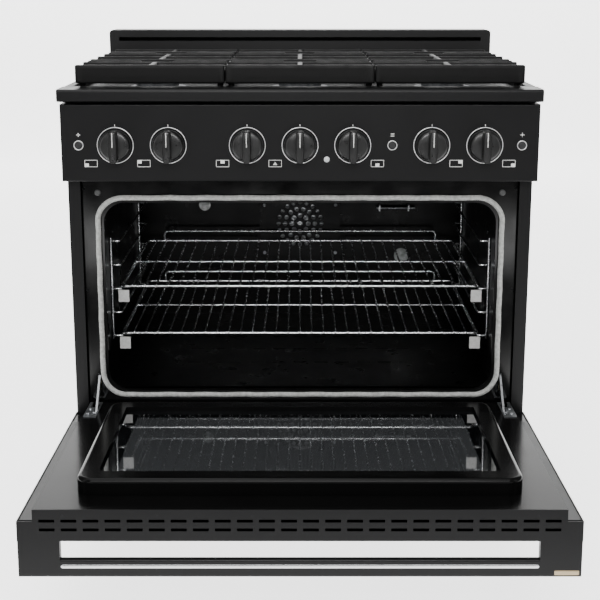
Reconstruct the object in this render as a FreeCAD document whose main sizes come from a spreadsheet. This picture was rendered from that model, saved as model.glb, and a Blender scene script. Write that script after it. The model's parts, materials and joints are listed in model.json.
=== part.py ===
import FreeCAD, Part
import math
import os
import re
import Sketcher

V = FreeCAD.Vector
doc = FreeCAD.newDocument("GasRange")

# The driving dimensions, in millimetres and degrees. Heights are above the floor. Depths are
# measured back from the face of the front frame, and forward of it they are negative.
DIMENSIONS = (
    ("width", 912, "outside width of cabinet, door and control panel"),
    ("depth", 610, "front frame to the back of the cabinet"),
    ("deck_height", 914, "floor to the cooktop's rim"),
    ("sheet_wall", 1.5, "thickness of the outside sheet metal"),
    ("seat", 0.3, "gap left between pieces that are screwed or hung together"),
    ("base_height", 100, "floor to the underside of the base frame"),
    ("base_rim", 26, "height of the base frame's rim"),
    ("base_setback", 15, "front frame to the base frame"),
    ("sleeve_low", 20, "floor to the lower end of a foot's sleeve"),
    ("sleeve_wall", 3, "thickness of a foot's sleeve"),
    ("foot_inset", 52, "outside of the cabinet to the axis of a foot"),
    ("foot_setback", 60, "front frame to the axes of the front feet"),
    ("foot_radius", 24, "radius of a foot's base"),
    ("foot_stem", 16, "radius of a foot's stem"),
    ("foot_rim", 8, "height of a foot's outer rim"),
    ("foot_nut", 19.7, "height of the nut above a foot's base"),
    ("foot_spare", 5, "top of a foot's stem to the base frame"),
    ("side_flange", 24, "front return of a side panel"),
    ("frame_groove", 10, "groove between a side panel and the front frame"),
    ("frame_setback", 12, "depth of that groove"),
    ("frame_overlap", 9, "front frame up behind the control panel"),
    ("kick_gap", 12, "kick panel to the closed door"),
    ("kick_return", 14.7, "depth of the kick panel's folded ends"),
    ("panel_drop", 177, "cooktop's rim to the underside of the control panel"),
    ("panel_reach", 50, "control panel's face ahead of the front frame"),
    ("bullnose_height", 24.5, "height of the bullnose"),
    ("bullnose_reach", 60, "bullnose's front ahead of the front frame"),
    ("bullnose_overhang", 3, "bullnose past the cabinet on each side"),
    ("shadow_gap", 4.5, "recess between the bullnose and the control panel"),
    ("backguard_rise", 84, "backguard above the deck"),
    ("backguard_depth", 62, "thickness of the backguard"),
    ("backguard_corner", 8, "corner radius of the backguard's top"),
    ("vent_height", 9, "height of the backguard's vent slot"),
    ("vent_drop", 17, "backguard's top to the vent slot"),
    ("vent_inset", 23, "end of the vent slot to the backguard's end"),
    ("louvre_length", 140, "length of a slot in the back panel"),
    ("louvre_height", 6, "height of a slot in the back panel"),
    ("louvre_pitch", 22, "pitch of the slots in the back panel"),
    ("louvre_drop", 274, "cooktop's rim to the lowest slot in the back panel"),
    ("louvre_middle", 180, "centre of the range to the middle of a row of slots"),
    ("gland_inset", 90, "side of the range to the cord's gland hole"),
    ("gland_height", 180, "height of the gland hole"),
    ("gland_radius", 11, "radius of the gland hole"),
    ("mouth_width", 776, "width of the oven mouth"),
    ("mouth_bottom", 299, "lower edge of the oven mouth"),
    ("mouth_drop", 51, "control panel to the oven mouth"),
    ("mouth_corner", 42, "corner radius of the oven mouth"),
    ("gasket_width", 12, "width and thickness of the gasket"),
    ("gasket_margin", 4.5, "mouth's edge to the gasket"),
    ("bumper_radius", 6.5, "radius of a door bumper"),
    ("bumper_reach", 4, "bumper ahead of the front frame"),
    ("bumper_inset", 10, "mouth's side to a bumper's axis"),
    ("bumper_rise", 20, "mouth's top to a bumper's axis"),
    ("oven_depth", 520, "front frame to the liner's rear wall"),
    ("liner_margin", 4, "mouth's side to the liner's wall"),
    ("liner_rise", 6, "mouth's top to the liner's top"),
    ("floor_rise", 3, "mouth's lower edge to the oven floor"),
    ("sump_depth", 50, "oven floor above the liner's bottom"),
    ("liner_wall", 1.2, "thickness of the liner"),
    ("wool_thickness", 30, "thickness of the insulation"),
    ("wool_setback", 45, "front frame to the insulation"),
    ("hinge_drop", 44, "door's hinge axis below the oven mouth"),
    ("hinge_reach", 30, "hinge axis ahead of the front frame"),
    ("hinge_inset", 42, "side of the range to the pivot's outer cheek"),
    ("pivot_wall", 4, "thickness of the pivot's cheek"),
    ("pivot_eye", 7.5, "radius of the pivot's eye"),
    ("pin_radius", 4, "radius of the door's hinge pin"),
    ("pin_play", 0.06, "radial play of a hinge pin or an arm's hook"),
    ("arm_inset", 50, "side of the range to a stay arm's inner face"),
    ("arm_wall", 4, "thickness of a stay arm"),
    ("arm_length", 90, "length of a stay arm between its ends"),
    ("arm_half", 6, "half the width of a stay arm"),
    ("arm_pin", 3, "radius of the pin that a stay arm hooks on"),
    ("arm_back", 12, "front frame back to that pin"),
    ("arm_rise", 74, "hinge axis up to that pin"),
    ("arm_angle", 41.8, "stay arm forward of upright with the door open"),
    ("door_open_angle", 88.5, "angle between the closed door and the door on its stop"),
    ("door_top_gap", 4, "closed door to the control panel"),
    ("door_drop", 21, "door below its hinge axis"),
    ("door_thickness", 54, "inner panel to the outer face"),
    ("door_step", 20, "inner panel above the side shell"),
    ("door_inset", 26, "side shell to the inner panel"),
    ("plug_inset", 17, "mouth's side to the raised plug frame"),
    ("plug_base", 5, "mouth's lower edge to the plug frame"),
    ("plug_drop", 7, "mouth's top to the plug frame"),
    ("plug_rise", 28, "plug frame above the inner panel"),
    ("plug_border", 34, "width of the plug frame's border"),
    ("plug_corner", 26, "corner radius of the plug frame"),
    ("plug_round", 7, "rounding of the plug frame's face"),
    ("rebate_depth", 7, "plug frame's lip over the inner glass"),
    ("rebate_width", 14, "width of the ledge that the inner glass lies on"),
    ("glass_thickness", 4, "thickness of the door's glass"),
    ("window_width", 620, "width of the outer window"),
    ("window_height", 250, "height of the outer window"),
    ("window_low", 120, "hinge axis to the outer window"),
    ("window_lap", 14, "outer glass past the window on each side"),
    ("slot_length", 25.5, "length of a vent slot in the door's top"),
    ("slot_height", 5, "height of a vent slot"),
    ("slot_pitch", 35.4, "pitch of the vent slots"),
    ("slot_rows", 15, "distance between the two rows of slots"),
    ("slot_count", 24, "slots in a row"),
    ("handle_post", 68, "width of a handle post"),
    ("handle_gap", 33, "finger space behind the handle"),
    ("handle_bar", 31, "thickness of the handle's bar"),
    ("handle_height", 12, "height of the handle's bar"),
    ("handle_round", 4, "rounding of the handle's long edges"),
    ("rack_inset", 21, "liner's wall to a rack's side rail"),
    ("rack_front", 74, "front frame to a rack's front rail"),
    ("rack_depth", 412, "depth of a rack"),
    ("rack_wire", 3, "radius of a rack's frame wire"),
    ("rack_rod", 1.9, "radius of a rack's cross wires"),
    ("rack_pitch", 24.7, "pitch of the cross wires"),
    ("stop_half", 328, "centre of the range to the end of a rack's backstop"),
    ("stop_rise", 24, "backstop above a rack"),
    ("rung_rise", 86, "oven floor to the lowest ladder rung"),
    ("rung_pitch", 50.6, "pitch of the ladder rungs"),
    ("rung_wire", 2.5, "radius of a ladder's wire"),
    ("rung_count", 5, "rungs on a ladder"),
    ("clip_height", 25, "height of a ceramic clip"),
    ("grate_width", 288, "width of one grate"),
    ("grate_gap", 1.2, "gap between two grates"),
    ("grate_depth", 500, "depth of a grate"),
    ("grate_rise", 42, "grates' top above the cooktop's rim"),
    ("grate_rail", 30, "height of a grate's outer rail"),
    ("grate_bar", 10, "width of a grate's bars"),
    ("grate_bar_height", 16, "height of a grate's inner bars"),
    ("grate_front", -6, "front frame to the front of a grate"),
    ("finger_width", 8, "width of the fingers over a burner"),
    ("finger_reach", 32, "burner's axis to a finger's tip"),
    ("well_depth", 14, "depth of the cooktop's spill tray"),
    ("well_inset", 14, "side of the range to the spill tray"),
    ("well_front", 10, "front frame to the spill tray"),
    ("flue_half", 300, "half the width of the flue under the backguard"),
    ("burner_spread", 289, "distance between burners across the range"),
    ("burner_front", 119, "front frame to the front burners"),
    ("burner_rear", 369, "front frame to the rear burners"),
    ("burner_flange", 57, "radius of a burner base's flange"),
    ("burner_throat", 26, "radius of a burner's throat"),
    ("burner_throat_drop", 32, "burner's throat below the tray"),
    ("burner_head", 43, "radius of a burner's head"),
    ("burner_rise", 20, "burner's head above the tray"),
    ("burner_bore", 15, "radius of the mixing bore"),
    ("cap_radius", 41, "radius of a burner cap"),
    ("cap_spigot", 34, "radius of the cap's spigot"),
    ("cap_height", 7, "thickness of a burner cap"),
    ("knob_rise", 70, "control panel's lower edge to the knobs' axes"),
    ("knob_radius", 30.5, "radius of a knob"),
    ("knob_reach", 38, "knob ahead of the control panel"),
    ("knob_skirt", 15, "depth of a knob's turned skirt"),
    ("knob_gap", 2.6, "knob's back to the control panel"),
    ("grip_width", 16, "width of a knob's grip"),
    ("stem_radius", 4, "radius of a valve stem"),
    ("bezel_margin", 4.5, "ring past the knob on each side"),
    ("bezel_width", 1.5, "width of the ring round a knob"),
    ("bezel_thickness", 2, "thickness of the ring round a knob"),
    ("button_radius", 6.8, "radius of a push button"),
    ("button_reach", 4, "push button ahead of the control panel"),
    ("button_collar", 3, "collar round a push button, its width and its thickness"),
    ("button_ring", 2.5, "width of the ring round a push button"),
    ("lamp_drop", 27, "knobs' axes to the indicator lamp"),
    ("lamp_radius", 3.1, "radius of the indicator lamp"),
    ("manifold_size", 22, "side of the manifold's square tube"),
    ("manifold_setback", 10, "front frame to the manifold"),
    ("manifold_half", 400, "centre of the range to the manifold's left end"),
    ("pipe_radius", 8, "radius of the gas pipe behind the manifold"),
    ("valve_half", 13, "half the width of a gas valve"),
    ("inlet_radius", 10.67, "radius of the half-inch gas inlet"),
    ("inlet_play", 1.3, "radial room round the gas inlet"),
    ("inlet_reach", 20, "gas inlet behind the cabinet"),
    ("inlet_height", 220, "height of the gas inlet"),
    ("inlet_inset", 14, "side of the range to the gas inlet's axis"),
    ("fan_drop", 156, "liner's top to the fan's axis"),
    ("fan_radius", 72, "radius of the convection fan"),
    ("fan_shaft", 4, "radius of the fan's shaft"),
    ("fan_play", 0.3, "radial room round the fan's shaft"),
    ("fan_blade", 14, "depth of a fan blade"),
    ("fan_cover_half", 98, "half the width of the fan's cover"),
    ("fan_cover_low", 84, "fan's axis to the cover's lower edge"),
    ("fan_cover_high", 58, "fan's axis to the cover's upper edge"),
    ("fan_cover_reach", 28, "fan's cover ahead of the liner's rear wall"),
    ("motor_radius", 40, "radius of the fan's motor"),
    ("motor_depth", 44, "depth of the fan's motor"),
    ("bake_half", 210, "centre of the range to a side tube of the bake burner"),
    ("bake_tube", 9, "radius of the bake burner's tubes"),
    ("bake_rise", 26, "bake burner above the liner's bottom"),
    ("broil_half", 120, "half the width of the broil burner"),
    ("broil_height", 24, "height of the broil burner"),
    ("broil_wall", 8, "wall of the broil burner's case"),
    ("probe_radius", 3, "radius of the temperature probe"),
    ("probe_length", 94, "length of the temperature probe"),
)

sheet = doc.addObject("Spreadsheet::Sheet", "Dims")
for row, (alias, value, meaning) in enumerate(DIMENSIONS, start=1):
    sheet.set(f"A{row}", meaning)
    sheet.set(f"B{row}", str(value))
    sheet.setAlias(f"B{row}", alias)

# Dimensions that follow from the driving ones.
DERIVED = (
    ("half_width", "width / 2"),
    ("panel_bottom", "deck_height - panel_drop"),
    ("mouth_top", "panel_bottom - mouth_drop"),
    ("oven_half", "mouth_width / 2 + liner_margin"),
    ("oven_top", "mouth_top + liner_rise"),
    ("floor_top", "mouth_bottom + floor_rise"),
    ("oven_sump", "floor_top - sump_depth"),
    ("hinge_height", "mouth_bottom - hinge_drop"),
    ("hinge_cheek", "half_width - hinge_inset"),
    ("arm_inside", "half_width - arm_inset"),
    ("door_lip", "hinge_reach - gasket_width - seat"),
    ("door_face", "door_thickness - door_lip"),
    ("door_top", "panel_bottom - door_top_gap - hinge_height"),
    ("door_shell", "door_lip - door_step"),
    ("open_reach", "hinge_reach + door_top * sin(door_open_angle * 1deg)"
                   " + (door_face + handle_gap + handle_bar) * cos(door_open_angle * 1deg)"),
    ("front_y", "(open_reach - depth - inlet_reach) / 2"),
    ("plug_half", "mouth_width / 2 - plug_inset"),
    ("plug_low", "hinge_drop + plug_base"),
    ("plug_high", "mouth_top - hinge_height - plug_drop"),
    ("panel_top", "deck_height - bullnose_height - shadow_gap"),
    ("deck_floor", "deck_height - well_depth"),
    ("side_top", "panel_top - seat"),
    ("kick_top", "hinge_height - door_drop - kick_gap"),
    ("backguard_front", "depth - backguard_depth"),
    ("grate_top", "deck_height + grate_rise"),
    ("bar_pitch", "(grate_depth - grate_bar) / 6"),
    ("rack_half", "oven_half - rack_inset"),
    ("rung_low", "floor_top + rung_rise"),
    ("knob_height", "panel_bottom + knob_rise"),
    ("lamp_height", "knob_height - lamp_drop"),
    ("bezel_radius", "knob_radius + bezel_margin"),
    ("fan_height", "oven_top - fan_drop"),
    ("fan_cover_front", "oven_depth - fan_cover_reach"),
)
ALIASES = {entry[0] for entry in DIMENSIONS} | {entry[0] for entry in DERIVED}
WORD = re.compile(r"[a-z][a-z_]*")


def tied(text):
    """An expression in the sheet's own names, written out as FreeCAD wants it."""
    return WORD.sub(lambda m: "Dims." + m.group() if m.group() in ALIASES else m.group(), text)


for row, (alias, formula) in enumerate(DERIVED, start=len(DIMENSIONS) + 2):
    sheet.set(f"A{row}", "follows from the sizes above")
    sheet.set(f"B{row}", "=" + formula)
    sheet.setAlias(f"B{row}", alias)
doc.recompute()


def size(alias):
    """A dimension's value, for a count or a loop."""
    return float(sheet.get(alias))


def bind(item, prop, text):
    """Tie a property to an expression in the sheet's names."""
    item.setExpression(prop, tied(text))


def mirrored(side, near, far):
    """The span from near to far on the right, or its mirror image on the left."""
    if side > 0:
        return near, far
    return f"-({far})", f"-({near})"


# ---- Part primitives, each bound to the sheet ----

def block(name, across, along, up):
    """A box between two expressions on each axis."""
    box = doc.addObject("Part::Box", name)
    spans = (across, along, up)
    for side, axis, (low, high) in zip(("Length", "Width", "Height"), "xyz", spans):
        bind(box, side, f"({high}) - ({low})")
        bind(box, f"Placement.Base.{axis}", low)
    return box


TURNS = {
    "x": FreeCAD.Rotation(V(0, 1, 0), 90),
    "y": FreeCAD.Rotation(V(1, 0, 0), -90),
    "z": FreeCAD.Rotation(),
}


def rod(name, axis, radius, start, length):
    """A cylinder along an axis, from its start point."""
    bar = doc.addObject("Part::Cylinder", name)
    bar.Placement = FreeCAD.Placement(V(), TURNS[axis])
    bind(bar, "Radius", radius)
    bind(bar, "Height", length)
    for letter, place in zip("xyz", start):
        bind(bar, f"Placement.Base.{letter}", place)
    return bar


def minus(name, base, *tools):
    """The base with every tool cut out of it."""
    cut = doc.addObject("Part::Cut", name)
    cut.Base = base
    cut.Tool = tools[0] if len(tools) == 1 else group(name + "Tools", *tools)
    return cut


def plus(name, *pieces):
    """The pieces welded into one solid."""
    fuse = doc.addObject("Part::MultiFuse", name)
    fuse.Shapes = list(pieces)
    return fuse


def group(name, *pieces):
    """Separate solids kept side by side."""
    compound = doc.addObject("Part::Compound", name)
    compound.Links = list(pieces)
    return compound


# ---- PartDesign bodies ----

def body(name):
    """An empty body."""
    return doc.addObject("PartDesign::Body", name)


def sketch(owner, plane, offset="0"):
    """A sketch on one of the body's own origin planes."""
    drawing = owner.newObject("Sketcher::SketchObject", owner.Name + "Sketch")
    base = [f for f in owner.Origin.OriginFeatures if f.Role == plane][0]
    drawing.AttachmentSupport = (base, [""])
    drawing.MapMode = "FlatFace"
    bind(drawing, "AttachmentOffset.Base.z", offset)
    return drawing


def place(drawing, element, point, across, up):
    """Fix a sketch point at two expressions from the sketch's origin."""
    for kind, text in (("DistanceX", across), ("DistanceY", up)):
        index = drawing.addConstraint(Sketcher.Constraint(kind, -1, 1, element, point, 1.0))
        bind(drawing, f"Constraints[{index}]", text)


def outline(drawing, corners):
    """A closed outline of straight lines through corners given as expressions."""
    first = drawing.GeometryCount
    count = len(corners)
    ring = [V(9 * math.cos(math.tau * k / count), 9 * math.sin(math.tau * k / count), 0)
            for k in range(count)]
    for k in range(count):
        drawing.addGeometry(Part.LineSegment(ring[k], ring[(k + 1) % count]), False)
    for k in range(count):
        following = first + (k + 1) % count
        drawing.addConstraint(Sketcher.Constraint("Coincident", first + k, 2, following, 1))
    for k, (across, up) in enumerate(corners):
        place(drawing, first + k, 1, across, up)


def rectangle(drawing, across, up):
    """A closed rectangle between two expressions each way."""
    (left, right), (low, high) = across, up
    outline(drawing, ((left, low), (right, low), (right, high), (left, high)))


def circle(drawing, across, up, radius):
    """A circle with its centre and radius as expressions."""
    index = drawing.addGeometry(Part.Circle(V(1, 1, 0), V(0, 0, 1), 5), False)
    place(drawing, index, 3, across, up)
    tie = drawing.addConstraint(Sketcher.Constraint("Radius", index, 5.0))
    bind(drawing, f"Constraints[{tie}]", radius)


def pad(owner, drawing, length, midplane=False, back=False):
    """Pull a sketch into a solid."""
    feature = owner.newObject("PartDesign::Pad", owner.Name + "Pad")
    feature.Profile = drawing
    bind(feature, "Length", length)
    feature.Midplane = midplane
    feature.Reversed = back
    return feature


def pocket(owner, drawing, length, midplane=False, back=False):
    """Cut a sketch out of the solid."""
    feature = owner.newObject("PartDesign::Pocket", owner.Name + "Pocket")
    feature.Profile = drawing
    bind(feature, "Length", length)
    feature.Midplane = midplane
    feature.Reversed = back
    return feature


def turned(owner, drawing, axis="H_Axis"):
    """Spin a sketch about one of its own axes."""
    feature = owner.newObject("PartDesign::Revolution", owner.Name + "Turn")
    feature.Profile = drawing
    feature.ReferenceAxis = (drawing, [axis])
    feature.Angle = 360
    return feature


def edges(feature, wanted):
    """The names of the edges whose middle point and direction pass a test."""
    names = []
    for number, edge in enumerate(feature.Shape.Edges, start=1):
        middle = edge.valueAt((edge.FirstParameter + edge.LastParameter) / 2)
        start, end = edge.Vertexes[0].Point, edge.Vertexes[-1].Point
        along = (end - start).normalize() if (end - start).Length > 0 else V()
        if wanted(middle, along):
            names.append(f"Edge{number}")
    return names


def rounded(owner, feature, radius, wanted):
    """Fillet the edges that pass a test."""
    doc.recompute()
    fillet = owner.newObject("PartDesign::Fillet", owner.Name + "Fillet")
    fillet.Base = (feature, edges(feature, wanted))
    bind(fillet, "Radius", radius)
    return fillet


def depth_edge(middle, along):
    """Edges that run front to back."""
    return abs(along.y) > 0.99


# ---- Where a finished piece stands ----

NODES = []


def on_cabinet(piece, label, x="0"):
    """A piece drawn in the cabinet's own frame."""
    piece.Label = label
    bind(piece, "Placement.Base.x", x)
    bind(piece, "Placement.Base.y", "front_y")
    NODES.append(piece)


def on_door(piece, label):
    """A piece drawn about the hinge axis with the door shut, turned open with the door."""
    piece.Label = label
    piece.Placement = FreeCAD.Placement(V(), FreeCAD.Rotation(V(1, 0, 0), 1))
    bind(piece, "Placement.Rotation.Angle", "door_open_angle")
    bind(piece, "Placement.Base.y", "front_y - hinge_reach")
    bind(piece, "Placement.Base.z", "hinge_height")
    NODES.append(piece)


# ---- Base frame: folded pan with four welded sleeves for the feet ----

def base_frame():
    """The pan that everything stands on."""
    inside = "half_width - sheet_wall - seat"
    outer = block("BasePan", (f"-({inside})", inside), ("base_setback", "depth - sheet_wall * 2 - seat"),
                  ("base_height", "base_height + base_rim"))
    inner = block("BasePanRoom", (f"-({inside} - sheet_wall)", f"{inside} - sheet_wall"),
                  ("base_setback + sheet_wall", "depth - sheet_wall * 3 - seat"),
                  ("base_height + sheet_wall", "base_height + base_rim + 1"))
    sleeves, bores = [], []
    for x, y in foot_places():
        sleeves.append(rod("Sleeve", "z", "foot_stem + seat + sleeve_wall", (x, y, "sleeve_low"),
                           "base_height - sleeve_low + sheet_wall / 2"))
        bores.append(rod("SleeveBore", "z", "foot_stem + seat", (x, y, "sleeve_low - 1"),
                         "base_height - sleeve_low + 1 - seat"))
    pan = minus("BasePanHollow", outer, inner)
    on_cabinet(minus("BaseFrame", plus("BaseWelded", pan, *sleeves), *bores), "base_frame")


def foot_places():
    """The four feet, front pair first."""
    for y in ("foot_setback", "depth - foot_inset"):
        for side in ("-", ""):
            yield f"{side}(half_width - foot_inset)", y


def levelling_feet():
    """Screw-adjusted feet, each a turned steel stem on a round base."""
    labels = ("foot_front_left", "foot_front_right", "foot_rear_left", "foot_rear_right")
    for label, (x, y) in zip(labels, foot_places()):
        foot = body("Foot")
        drawing = sketch(foot, "XZ_Plane")
        nut = "(foot_radius + foot_stem) / 2"
        outline(drawing, (("0", "0"), ("foot_radius - foot_rim / 4", "0"), ("foot_radius", "foot_rim / 4"),
                          ("foot_radius", "foot_rim"), (nut, "foot_rim * 1.5"),
                          (nut, "foot_nut"), ("foot_stem", "foot_nut"),
                          ("foot_stem", "base_height - foot_spare"), ("0", "base_height - foot_spare")))
        turned(foot, drawing, "V_Axis")
        on_cabinet(foot, label, x)
        bind(foot, "Placement.Base.y", f"front_y + {y}")


# ---- Cabinet shell ----

def side_panels():
    """Folded steel sides with a return at the front and the back."""
    for side, label in ((-1, "side_panel_left"), (1, "side_panel_right")):
        panel = body("SidePanel")
        drawing = sketch(panel, "XY_Plane", "base_height")
        out = "half_width"
        corners = ((out, "0"), (out, "depth - sheet_wall"),
                   (f"{out} - side_flange", "depth - sheet_wall"),
                   (f"{out} - side_flange", "depth - 2 * sheet_wall"),
                   (f"{out} - sheet_wall", "depth - 2 * sheet_wall"),
                   (f"{out} - sheet_wall", "sheet_wall"),
                   (f"{out} - side_flange", "sheet_wall"), (f"{out} - side_flange", "0"))
        outline(drawing, [(x if side > 0 else f"-({x})", y) for x, y in corners])
        pad(panel, drawing, "side_top - base_height")
        if side > 0:
            hole = sketch(panel, "XZ_Plane", "-depth + 2 * sheet_wall")
            circle(hole, "half_width - inlet_inset", "inlet_height", "inlet_radius + inlet_play")
            pocket(panel, hole, "sheet_wall * 4", midplane=True)
        on_cabinet(panel, label)


def back_panel():
    """The sheet across the back, with vents, the gas inlet's hole and the cord's gland hole."""
    panel = body("BackPanel")
    drawing = sketch(panel, "XZ_Plane", "-depth")
    rectangle(drawing, ("-half_width", "half_width"), ("base_height", "side_top"))
    pad(panel, drawing, "sheet_wall")
    holes = sketch(panel, "XZ_Plane", "-depth")
    circle(holes, "half_width - inlet_inset", "inlet_height", "inlet_radius + inlet_play")
    circle(holes, "-half_width + gland_inset", "gland_height", "gland_radius")
    for k in range(6):
        for middle in ("-louvre_middle", "louvre_middle"):
            low = f"deck_height - louvre_drop + {k} * louvre_pitch"
            across = (f"{middle} - louvre_length / 2", f"{middle} + louvre_length / 2")
            rectangle(holes, across, (low, f"{low} + louvre_height"))
    pocket(panel, holes, "sheet_wall * 3", midplane=True)
    on_cabinet(panel, "back_panel")


def front_frame():
    """Enamelled face round the oven mouth, stepped back beside the side panels."""
    frame = body("FrontFrame")
    drawing = sketch(frame, "XY_Plane", "kick_top + kick_gap / 3")
    edge = "half_width - side_flange - frame_groove"
    far = "half_width - sheet_wall - seat"
    right = ((edge, "0"), (edge, "frame_setback"), (far, "frame_setback"),
             (far, "frame_setback + sheet_wall"), (f"{edge} - sheet_wall", "frame_setback + sheet_wall"),
             (f"{edge} - sheet_wall", "sheet_wall"))
    left = [(f"-({x})", y) for x, y in reversed(right)]
    outline(drawing, list(right) + left)
    pad(frame, drawing, "panel_bottom + frame_overlap - (kick_top + kick_gap / 3)")
    mouth = sketch(frame, "XZ_Plane")
    rectangle(mouth, ("-mouth_width / 2", "mouth_width / 2"), ("mouth_bottom", "mouth_top"))
    opened = pocket(frame, mouth, "sheet_wall * 4", midplane=True)
    rounded(frame, opened, "mouth_corner",
            lambda m, a: depth_edge(m, a) and abs(abs(m.x) - size("mouth_width") / 2) < 0.1)
    slots = sketch(frame, "XZ_Plane")
    for side in (-1, 1):
        arm = mirrored(side, "arm_inside - 1.5", "arm_inside + arm_wall + 1.5")
        rectangle(slots, arm, ("hinge_height + arm_rise - 34", "hinge_height + arm_rise + arm_pin"))
        pivot = mirrored(side, "hinge_cheek - 1.3", "hinge_cheek + pivot_wall + 1.3")
        rectangle(slots, pivot, ("hinge_height - pivot_eye - 2.5", "hinge_height + pivot_eye + 2.5"))
    pocket(frame, slots, "sheet_wall * 4", midplane=True)
    on_cabinet(frame, "front_frame")


def kick_panel():
    """The plain panel below the door, folded back at its ends."""
    panel = body("KickPanel")
    drawing = sketch(panel, "XY_Plane", "base_height + 2")
    end = "half_width - side_flange - seat"
    inner = f"{end} - sheet_wall"
    outline(drawing, ((f"-({end})", "0"), (end, "0"), (end, "kick_return"), (inner, "kick_return"),
                      (inner, "sheet_wall"), (f"-({inner})", "sheet_wall"),
                      (f"-({inner})", "kick_return"), (f"-({end})", "kick_return")))
    pad(panel, drawing, "kick_top - base_height - 2")
    on_cabinet(panel, "kick_panel")


def backguard():
    """Folded upstand at the back with a long vent slot under its cap."""
    guard = body("Backguard")
    drawing = sketch(guard, "XZ_Plane", "-depth")
    base = "deck_height + seat"
    rectangle(drawing, ("-half_width", "half_width"), (base, "deck_height + backguard_rise"))
    block_out = pad(guard, drawing, "backguard_depth")
    rounded(guard, block_out, "backguard_corner",
            lambda m, a: depth_edge(m, a) and m.z > size("deck_height") + size("backguard_rise") / 2)
    room = sketch(guard, "YZ_Plane")
    rectangle(room, ("backguard_front + sheet_wall", "depth - sheet_wall"),
              (f"{base} - 1", "deck_height + backguard_rise - sheet_wall"))
    pocket(guard, room, "width - 2 * (sheet_wall + backguard_corner)", midplane=True)
    vent = sketch(guard, "XZ_Plane", "-backguard_front")
    top = "deck_height + backguard_rise - vent_drop"
    end = "half_width - vent_inset"
    rectangle(vent, (f"-({end})", end), (f"{top} - vent_height", top))
    pocket(guard, vent, "sheet_wall * 4", midplane=True)
    on_cabinet(guard, "backguard")


def cooktop_deck():
    """Enamelled spill tray pressed into the top, with a rim and six burner holes."""
    side, wall = "half_width", "sheet_wall"
    shell = block("DeckShell", (f"-{side}", side), ("seat", "depth"), ("panel_top", "deck_height"))
    under = block("DeckUnder", (f"-({side} - {wall})", f"{side} - {wall}"),
                  (f"{wall} + seat", f"depth - {wall}"), ("panel_top - 1", f"deck_height - {wall}"))
    well_side, well_back = "half_width - well_inset", "backguard_front - seat - 12"
    well = block("DeckWell", (f"-({well_side})", well_side), ("well_front", well_back),
                 (f"deck_floor - {wall}", "deck_height"))
    hollow = block("DeckHollow", (f"-({well_side} - {wall})", f"{well_side} - {wall}"),
                   (f"well_front + {wall}", f"{well_back} - {wall}"), ("deck_floor", "deck_height + 1"))
    rim = minus("DeckRim", minus("DeckFolded", shell, under), block_copy("DeckWellRoom", well))
    tray = minus("DeckTray", well, hollow)
    holes = [rod("BurnerHole", "z", "burner_throat + 4", (x, y, "deck_floor - 20"), "40")
             for x, y in burner_places()]
    flue = block("FlueHole", ("-flue_half", "flue_half"), ("backguard_front + 12", "depth - 12"),
                 ("deck_floor", "deck_height + 1"))
    on_cabinet(minus("CooktopDeck", plus("DeckWhole", rim, tray), flue, *holes), "cooktop_deck")


def block_copy(name, model):
    """A second box with the same size and place."""
    copy = doc.addObject("Part::Box", name)
    for prop, text in model.ExpressionEngine:
        copy.setExpression(prop, text)
    return copy


def bullnose():
    """Rolled trim along the cooktop's front edge, closed at its ends."""
    trim = body("Bullnose")
    drawing = sketch(trim, "YZ_Plane")
    low = "deck_height - bullnose_height"
    outline(drawing, (("0", "deck_height"), ("-bullnose_reach", "deck_height"),
                      ("-bullnose_reach", f"{low} + 2 * sheet_wall"), ("-bullnose_reach + 8", low),
                      ("0", low)))
    whole = pad(trim, drawing, "width + 2 * bullnose_overhang", midplane=True)
    rounded(trim, whole, "bullnose_height / 5", lambda m, a: abs(a.x) > 0.99
            and m.y < -size("bullnose_reach") + 1 and m.z > size("deck_height") - 1)
    room = sketch(trim, "YZ_Plane")
    rectangle(room, ("-bullnose_reach + 9", "1"), (f"{low} + sheet_wall", "deck_height - sheet_wall"))
    pocket(trim, room, "width - 2 * sheet_wall", midplane=True)
    on_cabinet(trim, "bullnose")


def control_panel():
    """Folded fascia, open at the back, pierced for stems, buttons and the lamp."""
    panel = body("ControlPanel")
    drawing = sketch(panel, "YZ_Plane")
    rectangle(drawing, ("-panel_reach", "0"), ("panel_bottom", "panel_top"))
    whole = pad(panel, drawing, "width", midplane=True)
    rounded(panel, whole, "2", lambda m, a: m.y < -size("panel_reach") + 0.5)
    room = sketch(panel, "YZ_Plane")
    rectangle(room, ("-panel_reach + sheet_wall", "1"),
              ("panel_bottom + sheet_wall", "panel_top - sheet_wall"))
    pocket(panel, room, "width - 2 * sheet_wall", midplane=True)
    holes = sketch(panel, "XZ_Plane", "panel_reach")
    for x in KNOBS.values():
        circle(holes, x, "knob_height", "stem_radius * 1.75")
    for x in BUTTONS.values():
        circle(holes, x, "knob_height", "button_radius + seat")
    circle(holes, LAMP_X, "lamp_height", "lamp_radius + seat")
    pocket(panel, holes, "sheet_wall * 4", midplane=True)
    on_cabinet(panel, "control_panel")


# ---- Knobs, buttons and their rings ----

KNOBS = {
    "knob_left_front": "-352",
    "knob_left_rear": "-251",
    "knob_centre_rear": "-100.5",
    "knob_oven": "0",
    "knob_centre_front": "100.5",
    "knob_right_rear": "251",
    "knob_right_front": "352",
}
BUTTONS = {"button_fan": "-422", "button_accent": "176", "button_light": "423"}
LAMP_X = "51"


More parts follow.
